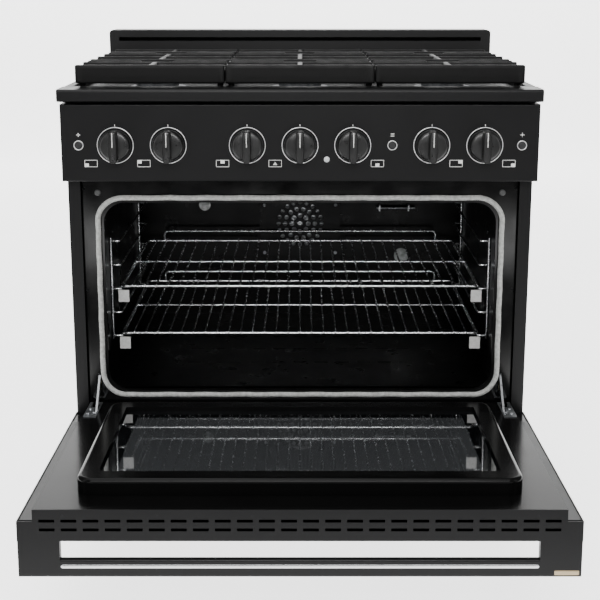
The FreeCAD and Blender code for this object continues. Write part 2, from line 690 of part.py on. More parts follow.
def knobs():
    """Moulded knobs: a skirt, a domed face, an upright grip and the valve's stem."""
    for label, x in KNOBS.items():
        knob = body("Knob")
        drawing = sketch(knob, "YZ_Plane")
        face = "-panel_reach - knob_gap"
        outline(drawing, ((face, "0"), (face, "knob_radius"), (f"{face} - knob_skirt / 3", "knob_radius"),
                          (f"{face} - knob_skirt * 0.8", "knob_radius - 2"),
                          (f"{face} - knob_skirt", "knob_radius - 5"), (f"{face} - knob_skirt", "0")))
        turned(knob, drawing)
        bar = sketch(knob, "XZ_Plane", "panel_reach + 10")
        rectangle(bar, ("-grip_width / 2", "grip_width / 2"), ("-knob_radius + 1.5", "knob_radius - 1.5"))
        grip = pad(knob, bar, "knob_reach - 10")
        tip = size("panel_reach") + size("knob_reach")
        rounded(knob, grip, "grip_width / 5", lambda m, a: m.y < 0.5 - tip)
        shaft = sketch(knob, "XZ_Plane", "panel_reach + 4")
        circle(shaft, "0", "0", "stem_radius")
        pad(knob, shaft, "panel_reach - 14 - seat", back=True)
        on_cabinet(knob, label, x)
        bind(knob, "Placement.Base.z", "knob_height")


def push_buttons():
    """Domed caps in the panel, each kept in by a collar behind it."""
    for label, x in BUTTONS.items():
        button = body("Button")
        drawing = sketch(button, "YZ_Plane")
        front = "-panel_reach - button_reach"
        collar = "-panel_reach + sheet_wall + seat"
        rim = "button_radius + button_collar"
        outline(drawing, ((front, "0"), (front, "button_radius - 2"), (f"{front} + 1", "button_radius"),
                          (collar, "button_radius"), (collar, rim),
                          (f"{collar} + button_collar", rim), (f"{collar} + button_collar", "0")))
        turned(button, drawing)
        on_cabinet(button, label, x)
        bind(button, "Placement.Base.z", "knob_height")


def ring(name, x, outer, inner, thick):
    """A flat ring on the panel's face."""
    start = (x, f"-panel_reach - {thick}", "knob_height")
    disc = rod(name + "Disc", "y", outer, start, thick)
    hole = rod(name + "Hole", "y", inner, (x, "-panel_reach - 9", "knob_height"), "12")
    return minus(name, disc, hole)


def control_bezels():
    """Bright rings behind the knobs and round the buttons."""
    rings = [ring("KnobRing", x, "bezel_radius", "bezel_radius - bezel_width", "bezel_thickness")
             for x in KNOBS.values()]
    rings += [ring("ButtonRing", x, "button_radius + seat + button_ring", "button_radius + seat",
                   "bezel_thickness") for x in BUTTONS.values()]
    on_cabinet(group("ControlBezels", *rings), "control_bezels")


def indicator_lamp():
    """A small domed lens pushed through the panel from behind."""
    lamp = body("IndicatorLamp")
    drawing = sketch(lamp, "YZ_Plane")
    dome, back = "-panel_reach - lamp_radius / 2", "-panel_reach + sheet_wall"
    outline(drawing, ((dome, "0"), (dome, "lamp_radius * 0.65"), ("-panel_reach", "lamp_radius"),
                      (back, "lamp_radius"), (back, "lamp_radius * 1.6"),
                      (f"{back} + 3 * lamp_radius", "lamp_radius * 1.6"), (f"{back} + 3 * lamp_radius", "0")))
    turned(lamp, drawing)
    on_cabinet(lamp, "indicator_lamp", LAMP_X)
    bind(lamp, "Placement.Base.z", "lamp_height")


# ---- Gas train ----

def gas_manifold():
    """Square tube behind the knobs, led down the right side to the inlet at the back."""
    low, high = "knob_height - manifold_size / 2", "knob_height + manifold_size / 2"
    near = "manifold_setback"
    far = "manifold_setback + manifold_size"
    x = "half_width - inlet_inset"
    back = "depth - 24"
    main = block("ManifoldTube", ("-manifold_half", f"{x} + pipe_radius"), (near, far), (low, high))
    run = rod("ManifoldRun", "y", "pipe_radius", (x, f"{far} - 4", "knob_height"), f"{back} - ({far}) + 4")
    drop = rod("ManifoldDrop", "z", "pipe_radius", (x, back, "inlet_height"), "knob_height - inlet_height")
    elbow = doc.addObject("Part::Sphere", "ManifoldElbow")
    lower = doc.addObject("Part::Sphere", "InletElbow")
    bends = ((elbow, "knob_height", "pipe_radius + 0.6"), (lower, "inlet_height", "inlet_radius + 0.5"))
    for ball, height, radius in bends:
        bind(ball, "Radius", radius)
        bind(ball, "Placement.Base.x", x)
        bind(ball, "Placement.Base.y", back)
        bind(ball, "Placement.Base.z", height)
    inlet = rod("GasInlet", "y", "inlet_radius", (x, back, "inlet_height"), "24 + inlet_reach")
    regulator = rod("Regulator", "y", "inlet_radius + 1", (x, "depth - 180", "knob_height"), "60")
    on_cabinet(plus("GasManifold", main, run, drop, elbow, lower, inlet, regulator), "gas_manifold")


def gas_valves():
    """One valve behind each knob, screwed to the manifold, with a bore for the stem."""
    valves = []
    for x in KNOBS.values():
        back = "manifold_setback"
        case = block("ValveCase", (f"{x} - valve_half", f"{x} + valve_half"), (f"{back} - 30", back),
                     ("knob_height - valve_half - 2", "knob_height + valve_half + 6"))
        nose = rod("ValveNose", "y", "valve_half - 4", (x, f"{back} - 42", "knob_height"), "14")
        bore = rod("ValveBore", "y", "stem_radius + seat", (x, f"{back} - 43", "knob_height"), "33")
        valves.append(minus("GasValve", plus("ValveBody", case, nose), bore))
    on_cabinet(group("GasValves", *valves), "gas_valves")


def burner_places():
    """Six burner centres, front row first."""
    for y in ("burner_front", "burner_rear"):
        for x in ("-burner_spread", "0", "burner_spread"):
            yield x, y


def burners():
    """Cast aluminium bases in the tray, and enamelled caps that lie on them."""
    bases, caps = [], []
    for x, y in burner_places():
        low = "deck_floor + seat"
        top = f"{low} + burner_rise"
        flange = rod("BurnerFlange", "z", "burner_flange", (x, y, low), "4")
        throat = rod("BurnerThroat", "z", "burner_throat", (x, y, f"{low} - burner_throat_drop"),
                     "burner_throat_drop + 6")
        head = rod("BurnerHead", "z", "burner_head", (x, y, f"{low} + 3"), "burner_rise - 3")
        bore = rod("BurnerBore", "z", "burner_bore", (x, y, f"{low} - burner_throat_drop - 1"),
                   "burner_throat_drop + burner_rise - 5")
        room = rod("BurnerRoom", "z", "burner_head - 6", (x, y, f"{top} - 11"), "12")
        bases.append(minus("BurnerBase", plus("BurnerWhole", flange, throat, head), bore, room))
        disc = rod("CapDisc", "z", "cap_radius", (x, y, top), "cap_height")
        spigot = rod("CapSpigot", "z", "cap_spigot", (x, y, f"{top} - 5"), "6")
        caps.append(plus("BurnerCap", disc, spigot))
    on_cabinet(group("BurnerBases", *bases), "burner_bases")
    on_cabinet(group("BurnerCaps", *caps), "burner_caps")


def grates():
    """Three cast iron grates side by side, each on four feet in the spill tray."""
    for index, label in enumerate(("grate_left", "grate_centre", "grate_right")):
        half = "grate_width / 2"
        front, back = "grate_front", "grate_front + grate_depth"
        rail = ("grate_top - grate_rail", "grate_top")
        bar = ("grate_top - grate_bar_height", "grate_top")
        end = "grate_bar + 2"
        pieces = [
            block("RailFront", (f"-{half}", half), (front, f"{front} + {end}"), rail),
            block("RailBack", (f"-{half}", half), (f"{back} - {end}", back), rail),
            block("RailLeft", (f"-{half}", f"-{half} + grate_bar"), (front, back), rail),
            block("RailRight", (f"{half} - grate_bar", half), (front, back), rail),
        ]
        for k in range(1, 6):
            low = f"{front} + {k} * bar_pitch"
            across = (f"-{half} + 1", f"{half} - 1")
            pieces.append(block("CrossBar", across, (low, f"{low} + grate_bar"), bar))
        for start, end in ((0, 1), (2, 4), (5, 6)):
            span = (f"{front} + {start} * bar_pitch + 1", f"{front} + {end} * bar_pitch + 1")
            pieces.append(block("CentreBar", ("-grate_bar / 2", "grate_bar / 2"), span, bar))
        for burner in ("burner_front", "burner_rear"):
            for side in (-1, 1):
                across = mirrored(side, "finger_reach", f"{half} - 1")
                along = (f"{burner} - finger_width / 2", f"{burner} + finger_width / 2")
                pieces.append(block("Finger", across, along, bar))
        for x in (f"-{half} + 4", f"{half} - 16"):
            for y in (f"{front} + 24", f"{back} - 40"):
                foot = ("deck_floor + seat", "grate_top - 10")
                pieces.append(block("GrateFoot", (x, f"{x} + 12"), (y, f"{y} + 14"), foot))
        grate = plus("Grate", *pieces)
        grate.Refine = True
        on_cabinet(grate, label, f"{index - 1} * (grate_width + grate_gap)")


# ---- Oven ----

def oven_liner():
    """Enamelled box welded up from sheet, open at the front."""
    outer = block("LinerOuter", ("-(oven_half + liner_wall)", "oven_half + liner_wall"),
                  ("sheet_wall + seat", "oven_depth + liner_wall"),
                  ("oven_sump - liner_wall", "oven_top + liner_wall"))
    inner = block("LinerRoom", ("-oven_half", "oven_half"), ("0", "oven_depth"), ("oven_sump", "oven_top"))
    shaft = rod("LinerShaftHole", "y", "fan_shaft + 5", ("0", "oven_depth - 5", "fan_height"), "12")
    on_cabinet(minus("OvenLiner", outer, inner, shaft), "oven_liner")


def oven_floor():
    """Lift-out floor over the bake burner, folded down at its ends, with rows of slots."""
    plate = body("OvenFloor")
    drawing = sketch(plate, "XZ_Plane", "-oven_depth + 1")
    end, foot, under = "oven_half - seat", "oven_sump + seat", "floor_top - sheet_wall"
    inner = f"{end} - sheet_wall"
    outline(drawing, ((f"-({end})", "floor_top"), (end, "floor_top"), (end, foot), (inner, foot),
                      (inner, under), (f"-({inner})", under), (f"-({inner})", foot), (f"-({end})", foot)))
    pad(plate, drawing, "oven_depth - 8")
    slots = sketch(plate, "XY_Plane", "floor_top")
    for row in range(3):
        for column in range(-5, 6):
            x = f"{column} * 46"
            y = f"150 + {row} * 90"
            rectangle(slots, (f"{x} - 15", f"{x} + 15"), (y, f"{y} + 6"))
    pocket(plate, slots, "sheet_wall * 4")
    on_cabinet(plate, "oven_floor")


def oven_insulation():
    """Glass wool wrapped round the liner, open at the front."""
    near = "oven_half + liner_wall + seat"
    far = "oven_half + liner_wall + wool_thickness"
    back = "oven_depth + liner_wall + seat"
    low, high = "oven_sump - liner_wall", "oven_top + liner_wall"
    outer = block("WoolOuter", (f"-({far})", far), ("wool_setback", "oven_depth + wool_thickness"),
                  (f"{low} - wool_thickness", f"{high} + wool_thickness"))
    inner = block("WoolRoom", (f"-({near})", near), ("wool_setback - 1", back),
                  (f"{low} - seat", f"{high} + seat"))
    motor = rod("WoolMotorHole", "y", "motor_radius + 6", ("0", "oven_depth - 4", "fan_height"),
                "wool_thickness * 2")
    on_cabinet(minus("OvenInsulation", outer, inner, motor), "oven_insulation")


def door_gasket():
    """Woven seal round the oven mouth."""
    seal = body("DoorGasket")
    drawing = sketch(seal, "XZ_Plane")
    reach = "mouth_width / 2 + gasket_margin + gasket_width"
    margin = "gasket_margin + gasket_width"
    rectangle(drawing, (f"-({reach})", reach), (f"mouth_bottom - ({margin})", f"mouth_top + {margin}"))
    pad(seal, drawing, "gasket_width")
    inside = sketch(seal, "XZ_Plane")
    near = "mouth_width / 2 + gasket_margin"
    rectangle(inside, (f"-({near})", near), ("mouth_bottom - gasket_margin", "mouth_top + gasket_margin"))
    hollow = pocket(seal, inside, "gasket_width * 3", midplane=True)
    limit = size("mouth_width") / 2 + size("gasket_margin") + size("gasket_width") / 2
    inner = rounded(seal, hollow, "mouth_corner", lambda m, a: depth_edge(m, a) and abs(m.x) < limit)
    outer = rounded(seal, inner, "mouth_corner + gasket_width",
                    lambda m, a: depth_edge(m, a) and abs(m.x) > limit)
    rounded(seal, outer, "gasket_width / 3", lambda m, a: m.y < -size("gasket_width") + 0.1)
    on_cabinet(seal, "door_gasket")


def door_bumpers():
    """Two round rubber pads that the shut door meets."""
    pads = []
    for side in ("-", ""):
        start = (f"{side}(mouth_width / 2 + bumper_inset)", "-bumper_reach", "mouth_top + bumper_rise")
        pads.append(rod("Bumper", "y", "bumper_radius", start, "bumper_reach"))
    on_cabinet(group("DoorBumpers", *pads), "door_bumpers")


def ladder_racks():
    """Bent wire ladders on the side walls, and the rungs that carry the racks."""
    front, back, last = "rack_front + 1", "oven_depth - 40", "oven_depth - 32"
    frames = []
    for side in (-1, 1):
        sign = "-" if side < 0 else ""
        wall_x = f"{sign}(oven_half - rung_wire - seat)"
        rail_x = f"{sign}(rack_half - 0.5)"
        near, far = mirrored(side, "rack_half - 0.5", "oven_half - rung_wire - seat")
        wires = [rod("LadderPost", "z", "rung_wire", (wall_x, y, "rung_low - 8"),
                     "(rung_count - 1) * rung_pitch + 16") for y in (front, back, last)]
        for k in range(int(size("rung_count"))):
            height = f"rung_low + {k} * rung_pitch"
            wires.append(rod("Rung", "y", "rung_wire", (rail_x, front, height), f"{back} - ({front})"))
            for y in (front, back):
                wires.append(rod("RungEnd", "x", "rung_wire", (near, y, height), f"({far}) - ({near})"))
        frames.append(plus("LadderRack", *wires))
    on_cabinet(group("LadderRacks", *frames), "ladder_racks")


# Each rack lies on one rung of the ladders, counted from the lowest.
RACKS = {"rack_lower": 0, "rack_upper": 2}


def ladder_clips():
    """White ceramic clips hooked on the ladders under each rack's front corners."""
    clips = []
    for level in RACKS.values():
        for side in (-1, 1):
            top = f"rung_low + {level} * rung_pitch - rung_wire - seat"
            across = mirrored(side, "rack_half - 17", "rack_half + 5")
            clips.append(block("LadderClip", across, ("rack_front - 1", "rack_front + 2.5"),
                               (f"{top} - clip_height", top)))
    on_cabinet(group("LadderClips", *clips), "ladder_clips")


def ball(name, x, y, z):
    """A round knee of a rack's frame wire."""
    knee = doc.addObject("Part::Sphere", name)
    bind(knee, "Radius", "rack_wire")
    for letter, text in zip("xyz", (x, y, z)):
        bind(knee, f"Placement.Base.{letter}", text)
    return knee


def oven_racks():
    """Chromed wire racks: a frame, two mid rails, cross wires and a raised backstop."""
    for label, level in RACKS.items():
        centre = f"rung_low + {level} * rung_pitch + rung_wire + seat + rack_wire"
        front, back = "rack_front", "rack_front + rack_depth"
        rails = (front, f"{front} + rack_depth / 2", back)
        wires = [rod("RackRail", "x", "rack_wire", ("-rack_half", y, centre), "2 * rack_half") for y in rails]
        for x in ("-rack_half", "rack_half"):
            wires.append(rod("RackSide", "y", "rack_wire", (x, front, centre), "rack_depth"))
            wires += [ball("RackCorner", x, y, centre) for y in (front, back)]
        count = int((2 * size("rack_half") - 30) / size("rack_pitch"))
        for k in range(count + 1):
            x = f"rack_pitch * ({k} - {count} / 2)"
            wires.append(rod("RackWire", "y", "rack_rod", (x, front, f"{centre} + 0.6"), "rack_depth"))
        for x in ("-stop_half", "stop_half"):
            wires.append(rod("StopPost", "z", "rack_wire", (x, back, centre), "stop_rise"))
            wires.append(ball("StopKnee", x, back, f"{centre} + stop_rise"))
        wires.append(rod("StopRail", "x", "rack_wire", ("-stop_half", back, f"{centre} + stop_rise"),
                         "2 * stop_half"))
        on_cabinet(plus("OvenRack", *wires), label)


# Rings of holes in the fan's cover: how many, the ring's radius and a hole's radius.
COVER_HOLES = ((1, 0, 6), (8, 20, 6), (14, 36, 5.5), (20, 52, 5))
BLADES = 10


def fan_cover():
    """Pierced plate in front of the fan, on four legs."""
    cover = body("FanCover")
    face = sketch(cover, "XZ_Plane", "-fan_cover_front - 2")
    rectangle(face, ("-fan_cover_half", "fan_cover_half"),
              ("fan_height - fan_cover_low", "fan_height + fan_cover_high"))
    plate = pad(cover, face, "2")
    rounded(cover, plate, "22", depth_edge)
    for count, reach, radius in COVER_HOLES:
        holes = sketch(cover, "XZ_Plane", "-fan_cover_front")
        for k in range(count):
            turn = math.tau * k / count
            x, z = round(reach * math.cos(turn), 3), round(reach * math.sin(turn), 3)
            circle(holes, f"{x}", f"fan_height + {z}", f"{radius}")
        pocket(cover, holes, "sheet_wall * 6", midplane=True)
    legs = sketch(cover, "XZ_Plane", "-oven_depth + seat")
    for x in ("-fan_cover_half + 10", "fan_cover_half - 10"):
        for z in ("fan_height - fan_cover_low + 10", "fan_height + fan_cover_high - 10"):
            circle(legs, x, z, "4")
    pad(cover, legs, "oven_depth - fan_cover_front - 1")
    on_cabinet(cover, "fan_cover")


def convection_fan():
    """Pressed disc with radial blades on a hub and a shaft."""
    hub = rod("FanHub", "y", "14", ("0", "oven_depth - 22", "fan_height"), "14")
    disc = rod("FanDisc", "y", "fan_radius", ("0", "oven_depth - 10", "fan_height"), "2")
    shaft = rod("FanShaft", "y", "fan_shaft", ("0", "oven_depth - 12", "fan_height"), "36")
    blades = []
    for k in range(BLADES):
        # The degree's turn keeps a blade's edge off the disc's seam.
        degrees = k * 360 / BLADES + 1
        turn = math.radians(degrees)
        blade = doc.addObject("Part::Box", "FanBlade")
        blade.Placement = FreeCAD.Placement(V(), FreeCAD.Rotation(V(0, 1, 0), degrees))
        bind(blade, "Length", "fan_radius - 22")
        bind(blade, "Width", "fan_blade")
        bind(blade, "Height", "liner_wall")
        bind(blade, "Placement.Base.x", f"{round(20 * math.cos(turn), 4)}")
        bind(blade, "Placement.Base.y", "oven_depth - 9 - fan_blade")
        bind(blade, "Placement.Base.z", f"fan_height - {round(20 * math.sin(turn), 4)}")
        blades.append(blade)
    on_cabinet(plus("ConvectionFan", hub, disc, shaft, *blades), "convection_fan")


def fan_motor():
    """Round motor on the liner's rear wall, with a bore for the fan's shaft."""
    front = "oven_depth + liner_wall"
    case = rod("MotorCase", "y", "motor_radius", ("0", front, "fan_height"), "motor_depth")
    bore = rod("MotorBore", "y", "fan_shaft + fan_play", ("0", "oven_depth", "fan_height"), "28")
    boss = rod("MotorBoss", "y", "motor_radius * 0.4",
               ("0", f"{front} + motor_depth - 4", "fan_height"), "14")
    on_cabinet(minus("FanMotor", plus("MotorBody", case, boss), bore), "fan_motor")


def bake_burner():
    """Tube burner under the oven floor, on four brackets."""
    height = "oven_sump + bake_rise"
    sides = ("-bake_half", "bake_half")
    pieces = [rod("BakeTube", "y", "bake_tube", (x, "90", height), "oven_depth - 160") for x in sides]
    pieces.append(rod("BakeCross", "x", "bake_tube", ("-bake_half", "270", height), "2 * bake_half"))
    pieces.append(rod("BakeFeed", "y", "bake_tube - 2", ("0", "270", height), "oven_depth - 271"))
    for x in sides:
        for y in ("120", "oven_depth - 110"):
            across = (f"{x} - 6", f"{x} + 6")
            pieces.append(block("BakeFoot", across, (y, f"{y} + 3"), ("oven_sump + seat", height)))
    on_cabinet(plus("BakeBurner", *pieces), "bake_burner")


def broil_burner():
    """Flat infrared burner hung from the oven's top."""
    half, wall = "broil_half", "broil_wall"
    case = block("BroilCase", (f"-{half}", half), ("90", "440"),
                 ("oven_top - broil_height", "oven_top - seat"))
    room = block("BroilRoom", (f"-({half} - {wall})", f"{half} - {wall}"), (f"90 + {wall}", f"440 - {wall}"),
                 ("oven_top - broil_height - 1", "oven_top - broil_height / 2"))
    on_cabinet(minus("BroilBurner", case, room), "broil_burner")


def temperature_sensor():
    """Probe on two brackets high on the rear wall."""
    height = "fan_height + 36"
    probe = rod("SensorProbe", "x", "probe_radius", ("186", "oven_depth - 14", height), "probe_length")
    brackets = [block("SensorBracket", (x, f"{x} + 3"), ("oven_depth - 20", "oven_depth - seat"),
                      (f"{height} - 7", f"{height} + 7")) for x in ("192", "186 + probe_length - 18")]
    on_cabinet(plus("TemperatureSensor", probe, *brackets), "temperature_sensor")


# The oven lamps: the distance from the centre, the height and the radius of each.
LAMPS = (("-232", "fan_height + 42", "14"), ("249", "fan_height - 85", "18"))


def lamp_lenses():
    """Domed glass covers of the two oven lamps, on the rear wall."""
    lenses = []
    for x, height, radius in LAMPS:
        base = rod("LampRing", "y", radius, (x, "oven_depth - 6", height), "6 - seat")
        dome = rod("LampGlass", "y", f"{radius} - 3", (x, "oven_depth - 12", height), "7")
        lenses.append(plus("LampLens", base, dome))
    on_cabinet(group("LampLenses", *lenses), "lamp_lenses")


# ---- Hinges: a fixed pivot, a plate on the door, and a stay arm that hooks in the receiver ----

def hinge_receivers():
    """Steel brackets behind the front frame: the door's pivot and the stay arm's pin."""
    pair = []
    for side in (-1, 1):
        cheek_span = mirrored(side, "hinge_cheek", "hinge_cheek + pivot_wall")
        start = cheek_span[0]
        low = "hinge_height - pivot_eye + 0.5"
        cheek = block("PivotCheek", cheek_span, ("-hinge_reach", "40"),
                      (low, "hinge_height + pivot_eye - 0.5"))
        eye = rod("PivotEye", "x", "pivot_eye", (start, "-hinge_reach", "hinge_height"), "pivot_wall")
        bore = rod("PivotBore", "x", "pin_radius + pin_play",
                   (f"({start}) - 1", "-hinge_reach", "hinge_height"), "pivot_wall + 2")
        web = block("ReceiverWeb", cheek_span, ("sheet_wall + seat", "40"),
                    (low, "hinge_height + arm_rise + 21"))
        pin_start, pin_end = mirrored(side, "arm_inside - 1.5", "hinge_cheek + 1")
        pin = rod("ArmPin", "x", "arm_pin", (pin_start, "arm_back", "hinge_height + arm_rise"),
                  f"({pin_end}) - ({pin_start})")
        pair.append(minus("HingeReceiver", plus("ReceiverWhole", cheek, eye, web, pin), bore))
    on_cabinet(group("HingeReceivers", *pair), "hinge_receivers")


def hinge_arms():
    """Flat stay arms, each hooked on its receiver's pin and running down into the door."""
    for side, label in ((-1, "hinge_arm_left"), (1, "hinge_arm_right")):
        across = mirrored(side, "arm_inside", "arm_inside + arm_wall")
        start = across[0]
        bar = block("ArmBar", across, ("-arm_half", "arm_half"), ("-arm_length", "0"))
        eye = rod("ArmEye", "x", "arm_half", (start, "0", "0"), "arm_wall")
        roller = rod("ArmRoller", "x", "arm_half", (start, "0", "-arm_length"), "arm_wall")
        bore = rod("ArmBore", "x", "arm_pin + pin_play", (f"({start}) - 1", "0", "0"), "arm_wall + 2")
        arm = minus("HingeArm", plus("ArmWhole", bar, eye, roller), bore)
        arm.Label = label
        arm.Placement = FreeCAD.Placement(V(), FreeCAD.Rotation(V(-1, 0, 0), 1))
        bind(arm, "Placement.Rotation.Angle", "arm_angle")
        bind(arm, "Placement.Base.y", "front_y + arm_back")
        bind(arm, "Placement.Base.z", "hinge_height + arm_rise")
        NODES.append(arm)


def hinge_plates():
    """Zinc-plated plates on the door's inner panel, each with the hinge pin below it."""
    face = "door_lip + 2"
    pair = []
    for side in (-1, 1):
        top = block("HingePlate", mirrored(side, "arm_inside - 5", "hinge_cheek + 12"),
                    ("door_lip + seat", face), ("-door_drop + 3", "62"))
        slot = block("PlateSlot", mirrored(side, "arm_inside - 2", "arm_inside + arm_wall + 2"),
                     ("door_lip - 1", "door_lip + 3"), ("-8", "52"))
        notch = block("PlateNotch", mirrored(side, "hinge_cheek - 2.5", "hinge_cheek + pivot_wall + 2.5"),
                      ("door_lip - 40", "door_lip + 3"), ("-24", "13"))
        cheek = block("HingeCheek", mirrored(side, "hinge_cheek + 7", "hinge_cheek + 9.5"), ("-7", face),
                      ("-12", "8"))
        start, end = mirrored(side, "hinge_cheek - 1", "hinge_cheek + 8")
        pin = rod("HingePin", "x", "pin_radius", (start, "0", "0"), f"({end}) - ({start})")
        plate = minus("HingePlateCut", top, slot, notch)
        pair.append(plus("HingePlateWhole", plate, cheek, pin))
    on_door(group("HingePlates", *pair), "hinge_plates")


# ---- Door, drawn shut about its hinge axis ----

def hinge_cuts():
    """The slots that the arms and pivots need through the door's panels."""
    cuts = []
    for side in (-1, 1):
        arm = mirrored(side, "arm_inside - 2", "arm_inside + arm_wall + 2")
        cuts.append(block("ArmSlot", arm, ("door_lip - 4", "door_lip + 1"), ("-8", "52")))
        pivot = mirrored(side, "hinge_cheek - 3", "hinge_cheek + 11")
        cuts.append(block("PivotNotch", pivot, ("-12", "door_lip + 1"), ("-door_drop - 1", "14")))
    return cuts


def door_outer_panel():
    """Folded skin of the door with a window, open at the back and the top."""
    wall = "sheet_wall"
    outer = block("DoorSkin", ("-half_width", "half_width"), ("-door_face", "door_shell"),
                  ("-door_drop", "door_top - sheet_wall - seat"))
    inner = block("DoorSkinRoom", (f"-(half_width - {wall})", f"half_width - {wall}"),
                  (f"-door_face + {wall}", "door_shell + 1"), (f"-door_drop + {wall}", "door_top + 1"))
    window = block("DoorWindow", ("-window_width / 2", "window_width / 2"),
                   ("-door_face - 1", "-door_face + 3"), ("window_low", "window_low + window_height"))
    on_door(minus("DoorOuterPanel", outer, inner, window, *hinge_cuts()), "door_outer_panel")


def door_inner_panel():
    """Enamelled pan set in the door's back, with the opening for the glass."""
    side, wall = "half_width - door_inset", "sheet_wall"
    inside = f"{side} - {wall}"
    step = "door_shell - 4"
    top = "door_top - sheet_wall - seat"
    outer = block("InnerPan", (f"-({side})", side), (step, "door_lip"), ("-door_drop", top))
    inner = block("InnerPanRoom", (f"-({inside})", inside), (f"{step} - 1", f"door_lip - {wall}"),
                  (f"-door_drop + {wall}", f"{top} + 1"))
    edge = "half_width - sheet_wall - seat"
    flange = block("InnerFlange", (f"-({edge})", edge), (step, f"{step} + {wall}"),
                   ("-door_drop + sheet_wall + seat", top))
    room = block("InnerFlangeRoom", (f"-({inside})", inside), (f"{step} - 1", "door_shell"),
                 ("-door_drop - 1", f"{top} + 1"))
    opening = block("InnerOpening", ("-plug_half + plug_border", "plug_half - plug_border"),
                    ("door_lip - 5", "door_lip + 1"), ("plug_low + plug_border", "plug_high - plug_border"))
    floor_trim = block("InnerFloorTrim", (f"-({side} + 1)", f"{side} + 1"),
                       ("door_shell - 6", "door_shell + seat"),
                       ("-door_drop - 1", f"-door_drop + {wall} + seat"))
    pan = minus("InnerPanHollow", outer, inner)
    rim = minus("InnerFlangeRim", flange, room)
    whole = plus("InnerWhole", pan, rim)
    on_door(minus("DoorInnerPanel", whole, opening, floor_trim, *hinge_cuts()), "door_inner_panel")


def plug_frame():
    """Raised frame that fills the oven mouth and holds the inner glass."""
    frame = body("PlugFrame")
    drawing = sketch(frame, "XZ_Plane", "-door_lip - seat")
    rectangle(drawing, ("-plug_half", "plug_half"), ("plug_low", "plug_high"))
    slab = pad(frame, drawing, "plug_rise", back=True)
    soft = rounded(frame, slab, "plug_corner", depth_edge)
    rounded(frame, soft, "plug_round", lambda m, a: m.y > size("door_lip") + size("plug_rise"))
    window = ("plug_border", "plug_rise * 4", True)
    ledge = ("(plug_border - rebate_width)", "plug_rise - rebate_depth", False)
    for inset, deep, both_ways in (window, ledge):
        cut = sketch(frame, "XZ_Plane", "-door_lip")
        across = (f"-plug_half + {inset}", f"plug_half - {inset}")
        rectangle(cut, across, (f"plug_low + {inset}", f"plug_high - {inset}"))
        pocket(frame, cut, deep, midplane=both_ways)
    on_door(frame, "plug_frame")


def door_glass():
    """The inner pane in the plug frame's rebate and the outer pane behind the window."""
    inset = "(plug_border - rebate_width + 1)"
    top = "door_lip + plug_rise - rebate_depth - seat"
    pane = block("InnerPane", (f"-plug_half + {inset}", f"plug_half - {inset}"),
                 (f"{top} - glass_thickness", top), (f"plug_low + {inset}", f"plug_high - {inset}"))
    on_door(group("InnerGlass", pane), "door_glass_inner")
    edge = "window_width / 2 + window_lap"
    face = "-door_face + sheet_wall + seat"
    outer = block("OuterPane", (f"-({edge})", edge), (face, f"{face} + glass_thickness"),
                  ("window_low - window_lap", "window_low + window_height + window_lap"))
    on_door(group("OuterGlass", outer), "door_glass_outer")


def door_top_trim():
    """Strip along the door's top edge with two rows of vent slots."""
    trim = body("DoorTopTrim")
    drawing = sketch(trim, "XY_Plane", "door_top - sheet_wall")
    wide, narrow = "half_width", "half_width - door_inset"
    outline(drawing, ((f"-{wide}", "-door_face"), (wide, "-door_face"), (wide, "door_shell"),
                      (narrow, "door_shell"), (narrow, "door_lip"), (f"-({narrow})", "door_lip"),
                      (f"-({narrow})", "door_shell"), (f"-{wide}", "door_shell")))
    pad(trim, drawing, "sheet_wall")
    slots = sketch(trim, "XY_Plane", "door_top")
    middle = "(door_lip - door_face) / 2"
    first = "-(slot_count - 1) / 2 * slot_pitch"
    for row in ("-1", "1"):
        low = f"{middle} + {row} * slot_rows / 2 - slot_height / 2"
        across = (f"{first} - slot_length / 2", f"{first} + slot_length / 2")
        rectangle(slots, across, (low, f"{low} + slot_height"))
    cut = pocket(trim, slots, "sheet_wall * 3", midplane=True)
    doc.recompute()
    pattern = trim.newObject("PartDesign::LinearPattern", "VentSlots")
    pattern.Originals = [cut]
    pattern.Direction = (slots, ["H_Axis"])
    bind(pattern, "Length", "(slot_count - 1) * slot_pitch")
    bind(pattern, "Occurrences", "slot_count")
    trim.Tip = pattern
    on_door(trim, "door_top_trim")


def handle():
    """Flat bar across the door on two square posts."""
    grip = body("Handle")
    drawing = sketch(grip, "XY_Plane", "door_top - sheet_wall - seat")
    outer = "half_width"
    post = "half_width - handle_post"
    near, far = "-door_face - seat", "-door_face - handle_gap - handle_bar"
    bar = "-door_face - handle_gap"
    outline(drawing, ((f"-{outer}", near), (f"-{outer}", far), (outer, far), (outer, near),
                      (post, near), (post, bar), (f"-({post})", bar), (f"-({post})", near)))
    whole = pad(grip, drawing, "handle_height", back=True)
    behind = size("door_face") + size("handle_gap") / 2
    rounded(grip, whole, "handle_round", lambda m, a: abs(a.x) > 0.9 and abs(m.x) < 1 and m.y < -behind)
    on_door(grip, "handle")


def checked():
    """Stop if anything failed to build or a cut removed nothing."""
    doc.recompute()
    for item in doc.Objects:
        if "Invalid" in item.State or "Error" in item.State:
            raise RuntimeError(f"{item.Label} failed: {item.State}")
        if item.TypeId == "PartDesign::Pocket":
            if item.BaseFeature.Shape.Volume - item.Shape.Volume < 1:
                raise RuntimeError(f"{item.Label} cuts nothing")
        if item.TypeId == "Part::Cut":
            if item.Base.Shape.Volume - item.Shape.Volume < 1:
                raise RuntimeError(f"{item.Label} cuts nothing")
    for piece in NODES:
        if piece.Shape.isNull() or not piece.Shape.isValid():
            raise RuntimeError(f"{piece.Label} isn't a sound solid")


